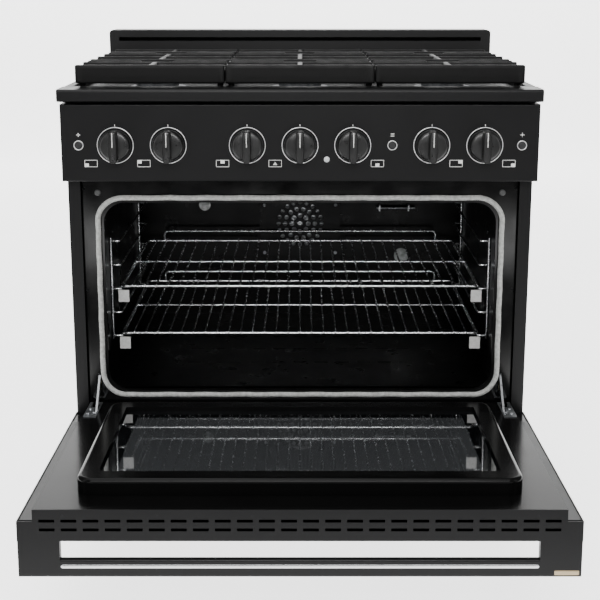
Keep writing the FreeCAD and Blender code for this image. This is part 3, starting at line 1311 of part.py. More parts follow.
BUILDERS = (
    base_frame, levelling_feet, side_panels, back_panel, front_frame, kick_panel, backguard,
    cooktop_deck, bullnose, control_panel, knobs, push_buttons, control_bezels, indicator_lamp,
    gas_manifold, gas_valves, burners, grates, oven_liner, oven_floor, oven_insulation,
    door_gasket, door_bumpers, ladder_racks, ladder_clips, oven_racks, fan_cover, convection_fan,
    fan_motor, bake_burner, broil_burner, temperature_sensor, lamp_lenses, hinge_receivers,
    hinge_arms, hinge_plates, door_outer_panel, door_inner_panel, plug_frame, door_glass,
    door_top_trim, handle,
)
for build in BUILDERS:
    build()
checked()

os.makedirs("parts", exist_ok=True)
for piece in NODES:
    piece.Shape.exportStep(f"parts/{piece.Label}.step")
whole = NODES[0].Shape.BoundBox
for piece in NODES[1:]:
    whole.add(piece.Shape.BoundBox)
print(len(NODES), "nodes; box", [round(v, 1) for v in (whole.XMin, whole.YMin, whole.ZMin)],
      [round(v, 1) for v in (whole.XMax, whole.YMax, whole.ZMax)])
print("front_y", size("front_y"))
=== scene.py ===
import json
import math

import bmesh
import bpy
import numpy as np
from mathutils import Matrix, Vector

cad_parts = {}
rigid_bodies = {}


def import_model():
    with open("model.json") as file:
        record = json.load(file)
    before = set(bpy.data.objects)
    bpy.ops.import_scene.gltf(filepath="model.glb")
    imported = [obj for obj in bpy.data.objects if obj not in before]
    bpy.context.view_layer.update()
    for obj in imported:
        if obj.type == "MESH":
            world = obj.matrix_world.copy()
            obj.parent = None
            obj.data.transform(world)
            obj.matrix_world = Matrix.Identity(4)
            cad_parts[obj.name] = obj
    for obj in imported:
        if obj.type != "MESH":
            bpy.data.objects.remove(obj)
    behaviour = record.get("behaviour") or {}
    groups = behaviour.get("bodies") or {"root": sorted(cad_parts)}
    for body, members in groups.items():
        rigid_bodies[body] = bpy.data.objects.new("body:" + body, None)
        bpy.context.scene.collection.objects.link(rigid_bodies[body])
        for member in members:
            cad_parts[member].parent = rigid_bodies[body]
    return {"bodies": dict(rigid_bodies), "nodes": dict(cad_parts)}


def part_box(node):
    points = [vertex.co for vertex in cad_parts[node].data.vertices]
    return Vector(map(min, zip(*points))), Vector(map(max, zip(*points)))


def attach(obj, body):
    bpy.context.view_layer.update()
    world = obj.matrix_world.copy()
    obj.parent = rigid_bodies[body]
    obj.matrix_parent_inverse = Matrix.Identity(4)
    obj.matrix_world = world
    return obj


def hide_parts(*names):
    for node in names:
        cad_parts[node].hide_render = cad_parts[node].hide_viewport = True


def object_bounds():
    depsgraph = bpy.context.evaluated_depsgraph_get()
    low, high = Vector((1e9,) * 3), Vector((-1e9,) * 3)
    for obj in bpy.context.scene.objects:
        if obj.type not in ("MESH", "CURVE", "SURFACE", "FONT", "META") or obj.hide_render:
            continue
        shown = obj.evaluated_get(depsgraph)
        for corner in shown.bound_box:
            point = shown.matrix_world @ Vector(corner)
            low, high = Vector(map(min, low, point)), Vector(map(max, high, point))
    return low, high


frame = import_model()
cad_low, cad_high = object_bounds()
MM = 0.001
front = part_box("front_frame")[0][1]

# ---- Camera ----
# A level view of the range from the front and a little above, with the lens's centre line
# lowered so that the cabinet's sides stay close to upright.
camera_data = bpy.data.cameras.new("camera")
camera_data.lens = 67.55
camera_data.shift_y = -0.15
camera = bpy.data.objects.new("camera", camera_data)
camera.location = (0, front - 2.1765, 1.1185)
camera.rotation_euler = (math.radians(90 - 11.62), 0, 0)
bpy.context.collection.objects.link(camera)
bpy.context.scene.camera = camera


# ---- Studio ----
# A sweep of white acrylic lit from beneath, falling to dark grey well in front so that the
# gloss stays black, a pale sky, a wide softbox overhead and two upright strips.
def linear(code):
    """The linear colour of an sRGB hex value."""
    parts = np.array([int(code[k:k + 2], 16) for k in (0, 2, 4)]) / 255
    return (*np.where(parts < 0.04045, parts / 12.92, ((parts + 0.055) / 1.055) ** 2.4), 1.0)


def node(tree, kind, links=None, **settings):
    """Adds a node. links maps a socket to a value, or to (node, output) that feeds it."""
    made = tree.nodes.new(kind)
    for name, value in settings.items():
        setattr(made, name, value)
    for socket, value in (links or {}).items():
        if isinstance(value, tuple) and isinstance(value[0], bpy.types.Node):
            tree.links.new(value[0].outputs[value[1]], made.inputs[socket])
        else:
            made.inputs[socket].default_value = value
    return made


def finish(name, colour, roughness, metallic=0.0, **constants):
    """A material with its shader's constants set on the sockets. Returns it, its tree and shader."""
    material = bpy.data.materials.new(name)
    material.use_nodes = True
    tree = material.node_tree
    shader = tree.nodes["Principled BSDF"]
    shader.inputs["Base Color"].default_value = linear(colour)
    shader.inputs["Roughness"].default_value = roughness
    shader.inputs["Metallic"].default_value = metallic
    for socket, value in constants.items():
        shader.inputs[socket.replace("_", " ")].default_value = value
    return material, tree, shader


def place_of(tree, stretch=(1, 1, 1)):
    """Object coordinates, in metres, stretched along the axes."""
    where = node(tree, "ShaderNodeTexCoord")
    return (node(tree, "ShaderNodeMapping", {"Vector": (where, "Object"), "Scale": stretch}), "Vector")


def grained(tree, shader, place, grain_mm, depth_mm, strength=1.0, detail=2.0):
    """A fine bump with grains of a real size and depth."""
    grain = node(tree, "ShaderNodeTexNoise", {"Vector": place, "Scale": 1000 / grain_mm, "Detail": detail})
    bump = node(tree, "ShaderNodeBump", {"Height": (grain, "Fac"), "Distance": depth_mm * MM,
                                         "Strength": strength})
    tree.links.new(bump.outputs["Normal"], shader.inputs["Normal"])


def surface(name, points, around=False, along=False, material=None):
    """A mesh over a grid of points (rows, columns, xyz), joined up around and along as asked.

    Points that coincide, as at a pole, are merged, and the faces are turned outwards.
    """
    rows, columns = points.shape[:2]
    row = np.arange(rows if along else rows - 1)[:, None]
    column = np.arange(columns if around else columns - 1)[None, :]
    near, far = row * columns, ((row + 1) % rows) * columns
    left, right = column, (column + 1) % columns
    quads = np.stack([near + left, near + right, far + right, far + left], -1).reshape(-1, 4)
    mesh = bpy.data.meshes.new(name)
    mesh.from_pydata(points.reshape(-1, 3).tolist(), [], quads.tolist())
    sealed(mesh)
    piece = bpy.data.objects.new(name, mesh)
    bpy.context.collection.objects.link(piece)
    if material:
        mesh.materials.append(material)
    return piece


def sealed(mesh, smooth=True):
    """Merges coinciding points, drops flat faces and turns the rest outwards."""
    work = bmesh.new()
    work.from_mesh(mesh)
    bmesh.ops.remove_doubles(work, verts=work.verts, dist=1e-6)
    bmesh.ops.dissolve_degenerate(work, edges=work.edges, dist=1e-7)
    bmesh.ops.recalc_face_normals(work, faces=work.faces)
    work.to_mesh(mesh)
    work.free()
    mesh.shade_smooth() if smooth else mesh.shade_flat()


sweep = np.linspace(0, math.pi / 2, 13)
bend, run_in, wall_height, half_width = 1.2, 0.4, 5.0, 6.0
floor_length, behind = 9.0, cad_high[1] + 3.6
arc = np.stack([bend * np.sin(sweep), bend * (1 - np.cos(sweep))], 1)
profile = np.vstack([[-floor_length, 0.0], [0.0, 0.0], arc + [run_in, 0.0], [bend + run_in, wall_height]])
sides = np.linspace(-half_width, half_width, 3)
floor_points = np.zeros((len(profile), len(sides), 3))
floor_points[..., 0] = sides[None, :]
floor_points[..., 1] = profile[:, :1] + behind
floor_points[..., 2] = profile[:, 1:]
paper, tree, shader = finish("backlit_white_acrylic", "F8F8F7", 0.9, Emission_Color=(1, 1, 1, 1))
dark_ahead, lit_ahead, glow = 1.3, 0.45, 2.4
depth = node(tree, "ShaderNodeSeparateXYZ", {"Vector": place_of(tree)})
lit = node(tree, "ShaderNodeMapRange", {"Value": (depth, "Y"), "From Min": front - dark_ahead,
                                        "From Max": front - lit_ahead, "To Min": 0.0, "To Max": glow},
           interpolation_type="SMOOTHSTEP")
tree.links.new(lit.outputs["Result"], shader.inputs["Emission Strength"])
shade = node(tree, "ShaderNodeMix", {"Factor": (lit, "Result")}, data_type="RGBA")
for socket, code in ((6, "303132"), (7, "F8F8F7")):
    shade.inputs[socket].default_value = linear(code)
tree.links.new(shade.outputs[2], shader.inputs["Base Color"])
grained(tree, shader, place_of(tree), 8, 0.05, 0.2)
surface("backdrop", floor_points, material=paper)

world = bpy.data.worlds.new("studio")
world.use_nodes = True
world.node_tree.nodes["Background"].inputs["Color"].default_value = (1.0, 1.0, 1.0, 1.0)
world.node_tree.nodes["Background"].inputs["Strength"].default_value = 0.34
bpy.context.scene.world = world


def softbox(name, location, target, wide, tall, power):
    """A rectangular area light aimed at a point."""
    data = bpy.data.lights.new(name, "AREA")
    data.shape = "RECTANGLE"
    data.size, data.size_y, data.energy = wide, tall, power
    lamp = bpy.data.objects.new(name, data)
    lamp.location = location
    lamp.rotation_euler = (Vector(target) - Vector(location)).to_track_quat("-Z", "Y").to_euler()
    bpy.context.collection.objects.link(lamp)


softbox("overhead", (-0.4, -0.4, 2.9), (0, 0, 0.5), 2.6, 2.0, 50)
softbox("left_strip", (-2.4, -1.6, 1.4), (0, 0, 0.6), 0.7, 2.2, 11)
softbox("right_strip", (2.4, -1.6, 1.4), (0, 0, 0.6), 0.7, 2.2, 9)
softbox("oven_fill", (0, front - 2.3, 1.7), (0, front + 0.3, 0.4), 1.6, 0.5, 46)
softbox("backdrop_wash", (0, cad_high[1] + 3.0, 3.6), (0, cad_high[1] + 5.0, 0.6), 3.4, 0.8, 60)
softbox("floor_wash", (0, front - 1.9, 0.16), (0, front - 0.5, 0), 2.6, 0.2, 6)


# ---- Folded steel cabinet ----
# Side panels, kick panel, backguard, bullnose, fascia and the door's skin are folded from
# steel sheet and powder coated black: a satin film with a fine orange-peel skin.
def dress(material, *nodes):
    """Gives carried-over CAD nodes a material."""
    for name in nodes:
        piece = frame["nodes"][name]
        for slot in piece.material_slots:
            slot.material = material


def uneven(tree, shader, socket, place, grain_mm, low, high):
    """Cloudy variation of a socket between two values, with patches of a real size."""
    cloud = node(tree, "ShaderNodeTexNoise", {"Vector": place, "Scale": 1000 / grain_mm, "Detail": 3.0})
    spread = node(tree, "ShaderNodeMapRange", {"Value": (cloud, "Fac"), "From Min": 0.3, "From Max": 0.7,
                                               "To Min": low, "To Max": high})
    tree.links.new(spread.outputs["Result"], shader.inputs[socket])


powder_coat, tree, shader = finish("black_powder_coated_steel", "080809", 0.38, IOR=1.5,
                                   Specular_IOR_Level=0.25)
place = place_of(tree)
uneven(tree, shader, "Roughness", place, 60, 0.385, 0.415)
# The coat's peel is about 1 mm across, drawn at 1.6 mm so that it shows.
grained(tree, shader, place, 1.6, 0.02, 0.35)
dress(powder_coat, "side_panel_left", "side_panel_right", "kick_panel", "backguard", "bullnose",
      "control_panel", "door_outer_panel", "door_top_trim", "handle")

# ---- Zinc-plated steel ----
# The base frame, back panel, hinge receivers and gas tube are plain plated steel: a dull
# bluish metal with a mottled spangle. The feet are turned and show fine rings.
zinc, tree, shader = finish("zinc_plated_steel", "A9ACAF", 0.38, 1.0)
place = place_of(tree)
spangle = node(tree, "ShaderNodeTexVoronoi", {"Vector": place, "Scale": 90.0})
tint = node(tree, "ShaderNodeValToRGB", {"Fac": (spangle, "Color")})
tint.color_ramp.elements[0].color = linear("979A9E")
tint.color_ramp.elements[1].color = linear("BCBFC1")
tree.links.new(tint.outputs["Color"], shader.inputs["Base Color"])
uneven(tree, shader, "Roughness", place, 14, 0.3, 0.46)
dress(zinc, "back_panel", "base_frame", "gas_manifold", "hinge_receivers")

turned_steel, tree, shader = finish("turned_steel", "6E7072", 0.34, 1.0)
place = place_of(tree, (1, 1, 60))
uneven(tree, shader, "Roughness", place, 30, 0.2, 0.4)
grained(tree, shader, place, 30, 0.05, 0.4)
dress(turned_steel, "foot_front_left", "foot_front_right", "foot_rear_left", "foot_rear_right")

# ---- Porcelain enamel ----
# The front frame, liner, oven floor, tray and the door's inner panel are pressed steel fired
# with black glass enamel: glossy, faintly wavy, with pinpoint flecks in the liner.
enamel, tree, shader = finish("black_porcelain_enamel", "060606", 0.12, IOR=1.52, Specular_IOR_Level=0.35)
place = place_of(tree)
uneven(tree, shader, "Roughness", place, 60, 0.09, 0.17)
grained(tree, shader, place, 9, 0.04, 0.25)
dress(enamel, "front_frame")

liner_enamel, tree, shader = finish("speckled_oven_enamel", "050506", 0.3, IOR=1.52,
                                    Specular_IOR_Level=0.15)
place = place_of(tree)
fleck = node(tree, "ShaderNodeTexVoronoi", {"Vector": place, "Scale": 330.0})
cut = node(tree, "ShaderNodeMath", {0: (fleck, "Distance"), 1: 0.12}, operation="LESS_THAN")
blend = node(tree, "ShaderNodeMix", {"Factor": (cut, "Value")}, data_type="RGBA")
for socket, code in ((6, "020202"), (7, "151719")):
    blend.inputs[socket].default_value = linear(code)
tree.links.new(blend.outputs[2], shader.inputs["Base Color"])
uneven(tree, shader, "Roughness", place, 40, 0.26, 0.36)
grained(tree, shader, place, 4, 0.03, 0.3)
dress(liner_enamel, "oven_liner", "oven_floor", "fan_cover")

panel_enamel, tree, shader = finish("black_door_enamel", "080808", 0.16, IOR=1.52, Specular_IOR_Level=0.1)
place = place_of(tree)
uneven(tree, shader, "Roughness", place, 120, 0.13, 0.2)
grained(tree, shader, place, 6, 0.02, 0.25)
dress(panel_enamel, "door_inner_panel", "plug_frame")

# ---- Insulation, broiler and bake burner ----
# Glass wool felt wrapped round the liner, and the two oven burners of aluminised steel that
# heat has tinted brown.

def mottled(tree, shader, place, grain_mm, dark, light):
    """Cloudy variation of the base colour between two hex colours."""
    cloud = node(tree, "ShaderNodeTexNoise", {"Vector": place, "Scale": 1000 / grain_mm, "Detail": 4.0})
    ramp = node(tree, "ShaderNodeValToRGB", {"Fac": (cloud, "Fac")})
    ramp.color_ramp.elements[0].position = 0.3
    ramp.color_ramp.elements[1].position = 0.7
    ramp.color_ramp.elements[0].color = linear(dark)
    ramp.color_ramp.elements[1].color = linear(light)
    tree.links.new(ramp.outputs["Color"], shader.inputs["Base Color"])


wool, tree, shader = finish("glass_wool_felt", "C9BE9A", 0.95)
place = place_of(tree, (1, 1, 3))
mottled(tree, shader, place, 18, "B7AB85", "DAD0B0")
grained(tree, shader, place, 6, 1.5, 0.9, 6.0)
dress(wool, "oven_insulation")

burner_steel, tree, shader = finish("heat_tinted_steel", "4B4642", 0.42, 1.0)
place = place_of(tree)
mottled(tree, shader, place, 35, "3A3634", "6A6058")
grained(tree, shader, place, 3, 0.05, 0.4)
dress(burner_steel, "bake_burner", "broil_burner", "fan_motor")


# ---- Gasket ----
# A woven glass-fibre rope clipped round the oven mouth. Its strands cross in a braid, so its
# surface is a row of small crowned diamonds that wanders a little between its clips.
def framed(path):
    """Unit tangents, and two unit normals, along a closed path in the plane of the frame."""
    ahead = np.roll(path, -1, 0) - np.roll(path, 1, 0)
    ahead /= np.linalg.norm(ahead, axis=1, keepdims=True)
    out = np.tile(np.array([0.0, -1.0, 0.0]), (len(path), 1))
    return ahead, out, np.cross(ahead, out)


def rounded_loop(left, right, low, high, radius, spacing):
    """Evenly spaced points round a rectangle with quarter-circle corners, starting bottom left."""
    legs = []
    corners = ((right, low, -90), (right, high, 0), (left, high, 90), (left, low, 180))
    for x, z, start in corners:
        hub_x = x - radius if x == right else x + radius
        hub_z = z - radius if z == high else z + radius
        turn = np.radians(start + np.linspace(0, 90, 40))
        legs.append(np.stack([hub_x + radius * np.cos(turn), hub_z + radius * np.sin(turn)], 1))
    coarse = np.vstack([*legs, legs[0][:1]])
    reach = np.r_[0, np.cumsum(np.linalg.norm(np.diff(coarse, axis=0), axis=1))]
    steps = np.linspace(0, reach[-1], int(reach[-1] / spacing) + 1)[:-1]
    return np.stack([np.interp(steps, reach, coarse[:, k]) for k in (0, 1)], 1), steps, reach[-1]


gasket_low, gasket_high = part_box("door_gasket")
gasket_low, gasket_high = np.array(gasket_low), np.array(gasket_high)
gasket_width = 12 * MM
half = gasket_width / 2
loop, steps, length = rounded_loop(gasket_low[0] + half, gasket_high[0] - half, gasket_low[2] + half,
                                   gasket_high[2] - half, 48 * MM, 2.2 * MM)
path = np.stack([loop[:, 0], np.full(len(loop), front - half), loop[:, 1]], 1)
_, out, across = framed(path)
turns = np.linspace(0, math.tau, 20, endpoint=False)
strands = round(length / (9 * MM))
wander = 0.35 * MM * np.sin(math.tau * round(length / 0.075) * steps / length)
phase = math.tau * strands * steps[:, None] / length
braid = 1 + 0.07 * np.sin(phase + 2 * turns[None, :]) * np.sin(phase - 2 * turns[None, :])
flat = 0.84 * half * braid[..., None]
gasket_points = (path[:, None] + across[:, None] * wander[:, None, None]
                 + flat * (out[:, None] * np.sin(turns)[None, :, None]
                           + across[:, None] * np.cos(turns)[None, :, None]))
glass_rope, tree, shader = finish("woven_glass_fibre", "A9AAA7", 0.85, Sheen_Weight=0.15)
place = place_of(tree)
mottled(tree, shader, place, 7, "8E8F8C", "BABBB8")
weave = node(tree, "ShaderNodeTexVoronoi", {"Vector": place, "Scale": 620.0})
bump = node(tree, "ShaderNodeBump", {"Height": (weave, "Distance"), "Distance": 0.4 * MM, "Strength": 0.8})
tree.links.new(bump.outputs["Normal"], shader.inputs["Normal"])
gasket = surface("gasket_rope", gasket_points, around=True, along=True, material=glass_rope)
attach(gasket, "cabinet")
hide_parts("door_gasket")


# ---- Door bumpers ----
# Two moulded rubber buttons pushed into the frame's upper corners, domed, with a small dimple
# from the mould.
def lathe(name, outline, centre, axis, material, steps=48):
    """An outline of (distance along the axis, radius), spun about the axis through the centre."""
    outline = np.array(outline, float)
    turn = np.linspace(0, math.tau, steps, endpoint=False)
    main = np.array(axis, float)
    side = np.array([0.0, 0.0, 1.0]) if abs(main[2]) < 0.5 else np.array([1.0, 0.0, 0.0])
    other = np.cross(main, side)
    ring = side * np.cos(turn)[:, None] + other * np.sin(turn)[:, None]
    along, reach = outline[:, 0, None, None], outline[:, 1, None, None]
    points = np.array(centre, float) + main * along + ring[None] * reach
    return surface(name, points, around=True, material=material)


def joined(name, pieces):
    """Several pieces made one object."""
    work = bmesh.new()
    for piece in pieces:
        work.from_mesh(piece.data)
    mesh = bpy.data.meshes.new(name)
    work.to_mesh(mesh)
    work.free()
    for material in pieces[0].data.materials:
        mesh.materials.append(material)
    for piece in pieces:
        bpy.data.objects.remove(piece)
    mesh.shade_smooth()
    whole = bpy.data.objects.new(name, mesh)
    bpy.context.collection.objects.link(whole)
    return whole


def crisp(piece, angle):
    """Keeps edges sharper than an angle, in degrees, from being smoothed over."""
    mesh = piece.data
    mesh.set_sharp_from_angle(angle=math.radians(angle))
    return piece


rubber, tree, shader = finish("moulded_grey_rubber", "3A3B3B", 0.6)
place = place_of(tree)
uneven(tree, shader, "Roughness", place, 5, 0.5, 0.7)
grained(tree, shader, place, 0.9, 0.03, 0.5)
bumper_low, bumper_high = (np.array(v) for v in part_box("door_bumpers"))
bumpers = []
for side in (-1, 1):
    centre = (side * (bumper_high[0] - 6.5 * MM), front, (bumper_low[2] + bumper_high[2]) / 2)
    shape = np.array([(0, 0), (0, 6.4), (1.6, 6.4), (2.8, 5.6), (3.7, 3.6), (3.4, 1.6), (3.1, 0)]) * MM
    bumpers.append(lathe("bumper", shape, centre, (0, -1, 0), rubber, 32))
bumper_pair = joined("bumper_pair", bumpers)
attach(bumper_pair, "cabinet")
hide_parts("door_bumpers")


# ---- Screws ----
# Small black-oxide pan-head screws with a cross recess hold the front frame, the ladders in the
# liner's side walls and the rear wall's fittings.
def screw(name, centre, axis, radius, material):
    """A pan head with a conical cross recess, as one lathe turned to a four-lobed recess."""
    turn = np.linspace(0, math.tau, 48, endpoint=False)
    lobes = 0.30 + 0.32 * np.abs(np.cos(2 * turn)) ** 6
    rings = [(0.0, 1.0, 0), (0.35, 1.0, 0), (0.55, 0.86, 0), (0.62, 0.7, 0), (0.62, 1.0, 1), (0.25, 0.7, 1),
             (0.2, 0.0, 1)]
    main = np.array(axis, float)
    side = np.array([0.0, 0.0, 1.0]) if abs(main[2]) < 0.5 else np.array([1.0, 0.0, 0.0])
    other = np.cross(main, side)
    spokes = side * np.cos(turn)[:, None] + other * np.sin(turn)[:, None]
    points = []
    for height, scale, recess in rings:
        reach = radius * scale * (lobes if recess else np.ones_like(turn))
        points.append(np.array(centre) + main * height * radius + spokes * reach[:, None])
    return surface(name, np.array(points), around=True, material=material)


black_oxide, tree, shader = finish("black_oxide_steel", "2A2A2B", 0.35, 1.0)
place = place_of(tree)
uneven(tree, shader, "Roughness", place, 3, 0.28, 0.45)
frame_screws = []
frame_screw_x, screw_recess, ladder_screw_depth, bracket_half = 427, 12, 118, 112
for side in (-1, 1):
    for height in (712, 505):
        spot = (side * frame_screw_x * MM, front + screw_recess * MM, height * MM)
        frame_screws.append(screw("screw", spot, (0, -1, 0), 3.4 * MM, black_oxide))
liner_high = np.array(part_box("oven_liner")[1])
wall = liner_high[0] - 1.2 * MM
for side in (-1, 1):
    for height in (600, 486, 372):
        spot = (side * wall, front + ladder_screw_depth * MM, height * MM)
        frame_screws.append(screw("screw", spot, (-side, 0, 0), 4.2 * MM, black_oxide))
rear_wall = liner_high[1] - 1.2 * MM
for x in (-bracket_half, bracket_half):
    spot = (x * MM, rear_wall, 468 * MM)
    frame_screws.append(screw("screw", spot, (0, -1, 0), 4 * MM, black_oxide))
cabinet_screws = joined("cabinet_screws", frame_screws)
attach(cabinet_screws, "cabinet")


# ---- Knobs ----
# Each knob is moulded from black phenolic: a turned skirt on the valve's stem with an upright
# grip, waisted for the fingers. A white pointer is filled into the grip's face.
def oval_ring(half_x, half_z, corner):
    """Points round a rectangle with round corners, as x and z: a superellipse whose power falls
    from square to round as the corner grows."""
    turn = np.linspace(0, math.tau, 64, endpoint=False)
    power = 2 / (2 + 6 * (1 - corner))
    x = half_x * np.sign(np.cos(turn)) * np.abs(np.cos(turn)) ** power
    z = half_z * np.sign(np.sin(turn)) * np.abs(np.sin(turn)) ** power
    return x, z


def bar_form(name, centre, levels, material):
    """A loft along -Y. Each level is (depth, half width, half height, corner), and the ends close."""
    rings = []
    for depth, half_x, half_z, corner in levels:
        x, z = oval_ring(half_x, half_z, corner)
        rings.append(np.stack([x, np.full_like(x, -depth), z], 1))
    rings = [rings[0] * (0, 1, 0), *rings, rings[-1] * (0, 1, 0)]
    return surface(name, np.array(rings) * MM + np.array(centre), around=True, material=material)


def prism(name, low, high, material):
    """A thin box between two corners, for printed marks and inlays."""
    low, high = np.array(low, float), np.array(high, float)
    corner = np.array([(x, y, z) for x in (0, 1) for y in (0, 1) for z in (0, 1)])
    faces = [(0, 1, 3, 2), (4, 6, 7, 5), (0, 4, 5, 1), (2, 3, 7, 6), (0, 2, 6, 4), (1, 5, 7, 3)]
    mesh = bpy.data.meshes.new(name)
    mesh.from_pydata((low + corner * (high - low)).tolist(), [], faces)
    sealed(mesh, smooth=False)
    piece = bpy.data.objects.new(name, mesh)
    bpy.context.collection.objects.link(piece)
    mesh.materials.append(material)
    return piece


phenolic, tree, shader = finish("moulded_black_phenolic", "0F0F0F", 0.32, IOR=1.55)
place = place_of(tree)
uneven(tree, shader, "Roughness", place, 12, 0.26, 0.4)
grained(tree, shader, place, 0.8, 0.01, 0.3)
white_fill, tree, shader = finish("white_filled_paint", "EDEDE9", 0.55)
place = place_of(tree)
mottled(tree, shader, place, 6, "E6E6E2", "F4F4F1")

panel_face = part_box("control_panel")[0][1]
knob_low, knob_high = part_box("knob_oven")
knob_axis = (knob_low[2] + knob_high[2]) / 2
pointer_half, pointer_seat, pointer_face = 0.6 * MM, 37.5 * MM, 38.1 * MM
pointer_foot, pointer_tip = 1 * MM, 28.6 * MM
for body_name in [name for name in frame["bodies"] if name.startswith("knob_")]:
    low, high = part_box(body_name)
    centre = ((low[0] + high[0]) / 2, panel_face, knob_axis)
    # Each pair is a depth in front of the fascia and a radius, from the stem's end to the face.
    skirt_shape = [(-34, 0), (-34, 4), (2.6, 4), (2.6, 29.6), (3.2, 30.4), (7.6, 30.5), (8.4, 30.1),
                   (10.5, 29.2), (14.4, 28.4), (16.2, 26.8), (17.2, 23.5), (17.6, 14), (17.6, 0)]
    skirt = lathe("skirt", np.array(skirt_shape) * MM, centre, (0, -1, 0), phenolic, 72)
    grip = bar_form("grip", centre, [(14, 8.4, 30.2, 0.5), (19, 7.6, 30.2, 0.5), (26, 7.0, 30.1, 0.5),
                                     (33, 7.4, 30, 0.5), (36.4, 7.3, 29.8, 0.5), (37.6, 6.6, 29.2, 0.5),
                                     (38, 5.2, 28, 0.5)], phenolic)
    knob = crisp(joined(body_name + "_moulding", [skirt, grip]), 40)
    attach(knob, body_name)
    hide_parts(body_name)
    pointer = prism(body_name + "_pointer",
                    (centre[0] - pointer_half, panel_face - pointer_face, knob_axis + pointer_foot),
                    (centre[0] + pointer_half, panel_face - pointer_seat, knob_axis + pointer_tip),
                    white_fill)
    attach(pointer, body_name)


# ---- Rings on the control panel ----
# Satin anodised aluminium rings pressed into the fascia round the knobs and the push buttons,
# turned with a rounded front edge.
def band(name, centre, inner, outer, height, material, steps=96):
    """A ring about -Y with a rounded rectangle for its section, given in millimetres."""
    soft = min(height, outer - inner) * 0.3
    turn = np.linspace(0, math.pi / 2, 5)
    over = np.stack([outer - soft + soft * np.sin(turn), height - soft + soft * np.cos(turn)], 1)
    into = np.stack([inner + soft - soft * np.cos(turn), height - soft + soft * np.sin(turn)], 1)
    section = np.vstack([[(inner, 0.0)], into, over, [(outer, 0.0)]]) * MM
    angle = np.linspace(0, math.tau, steps, endpoint=False)
    ring = np.stack([np.cos(angle), np.zeros_like(angle), np.sin(angle)], 1)
    points = section[:, 0, None, None] * ring[None]
    points[..., 1] -= section[:, 1, None]
    return surface(name, points + np.array(centre), around=True, along=True, material=material)


bright_ring, tree, shader = finish("satin_anodised_aluminium", "F2F2F2", 0.42, 1.0)
place = place_of(tree)
uneven(tree, shader, "Roughness", place, 4, 0.36, 0.5)
rings, ring_height = [], 2
for body_name in [name for name in frame["bodies"] if name.startswith("knob_")]:
    low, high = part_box(body_name)
    centre = ((low[0] + high[0]) / 2, panel_face, knob_axis)
    rings.append(band("ring", centre, 33.5, 35, ring_height, bright_ring))
button_names = [name for name in frame["bodies"] if name.startswith("button_")]
for body_name in button_names:
    low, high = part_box(body_name)
    centre = ((low[0] + high[0]) / 2, panel_face, knob_axis)
    rings.append(band("ring", centre, 7.8, 9.4, ring_height, bright_ring, 48))
ring_set = crisp(joined("ring_set", rings), 50)
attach(ring_set, "cabinet")
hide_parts("control_bezels")

# ---- Push buttons and indicator lamp ----
# Three acetal caps with a fine spark-eroded face, guided in the fascia, and a small frosted lens
# for the oven's indicator lamp, clipped in from behind.
acetal, tree, shader = finish("moulded_black_acetal", "1B1B1C", 0.45, IOR=1.48)
place = place_of(tree)
uneven(tree, shader, "Roughness", place, 4, 0.38, 0.52)
grained(tree, shader, place, 0.7, 0.02, 0.4)
dress(acetal, *button_names)
lens_plastic, tree, shader = finish("frosted_lamp_lens", "D6D8D8", 0.22, IOR=1.49)
place = place_of(tree)
mottled(tree, shader, place, 2, "C4C7C8", "E8EAEA")
lamp_low, lamp_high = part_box("indicator_lamp")
lamp_centre = ((lamp_low[0] + lamp_high[0]) / 2, panel_face, (lamp_low[2] + lamp_high[2]) / 2)
lens_shape = [(-12, 0), (-12, 4.9), (-1.6, 4.9), (-1.6, 3.1), (0, 3.1), (0, 5.4), (0.9, 5.5), (1.3, 5.1),
              (2.3, 4.2), (3.0, 2.6), (3.3, 0)]
lamp_lens = lathe("lamp_lens", np.array(lens_shape) * MM, lamp_centre, (0, -1, 0), lens_plastic, 32)
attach(lamp_lens, "cabinet")
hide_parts("indicator_lamp")

# ---- Printed marks on the control panel ----
# Screen-printed white ink: over each knob a tick, beside it a plan of the six burners with
# the one it lights filled in, and over each button a small sign for what it works.
ink, tree, shader = finish("screen_printed_white_ink", "E9E9E6", 0.6)
place = place_of(tree)
mottled(tree, shader, place, 3, "DDDDDA", "F2F2EF")
marks = []
ink_back, ink_front = panel_face + 0.1 * MM, panel_face - 0.12 * MM


def printed(x, z, wide, tall):
    """One printed patch, by its centre and size in millimetres."""
    marks.append(prism("mark", ((x - wide / 2) * MM, ink_front, (z - tall / 2) * MM),
                       ((x + wide / 2) * MM, ink_back, (z + tall / 2) * MM), ink))


plan_wide, plan_tall, line = 25.0, 13.6, 0.9
tick_rise, plan_aside, plan_drop, sign_rise = 38.2, 47.5, 35, 20
patch_wide, patch_tall, patch_step = 7.6, 5.9, 8
plans = {"knob_left_front": (0, 0), "knob_left_rear": (0, 1), "knob_centre_rear": (1, 1),
         "knob_oven": None, "knob_centre_front": (1, 0), "knob_right_rear": (2, 1),
         "knob_right_front": (2, 0)}
axis_mm = knob_axis / MM
for body_name, lit in plans.items():
    low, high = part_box(body_name)
    x = (low[0] + high[0]) / 2 / MM
    printed(x, axis_mm + tick_rise, 1.1, 3.6)
    away = -1 if x <= 0 else 1
    middle = x + away * plan_aside
    height = axis_mm - plan_drop
    for side in (-1, 1):
        printed(middle, height + side * (plan_tall - line) / 2, plan_wide, line)
        printed(middle + side * (plan_wide - line) / 2, height, line, plan_tall)
    if lit is None:
        for step in range(6):
            printed(middle, height - 2.6 + step * 1.0, 8 - step * 1.4, 0.9)
        continue
    column, row = lit
    printed(middle + (column - 1) * patch_step, height + (row - 0.5) * patch_tall, patch_wide, patch_tall)
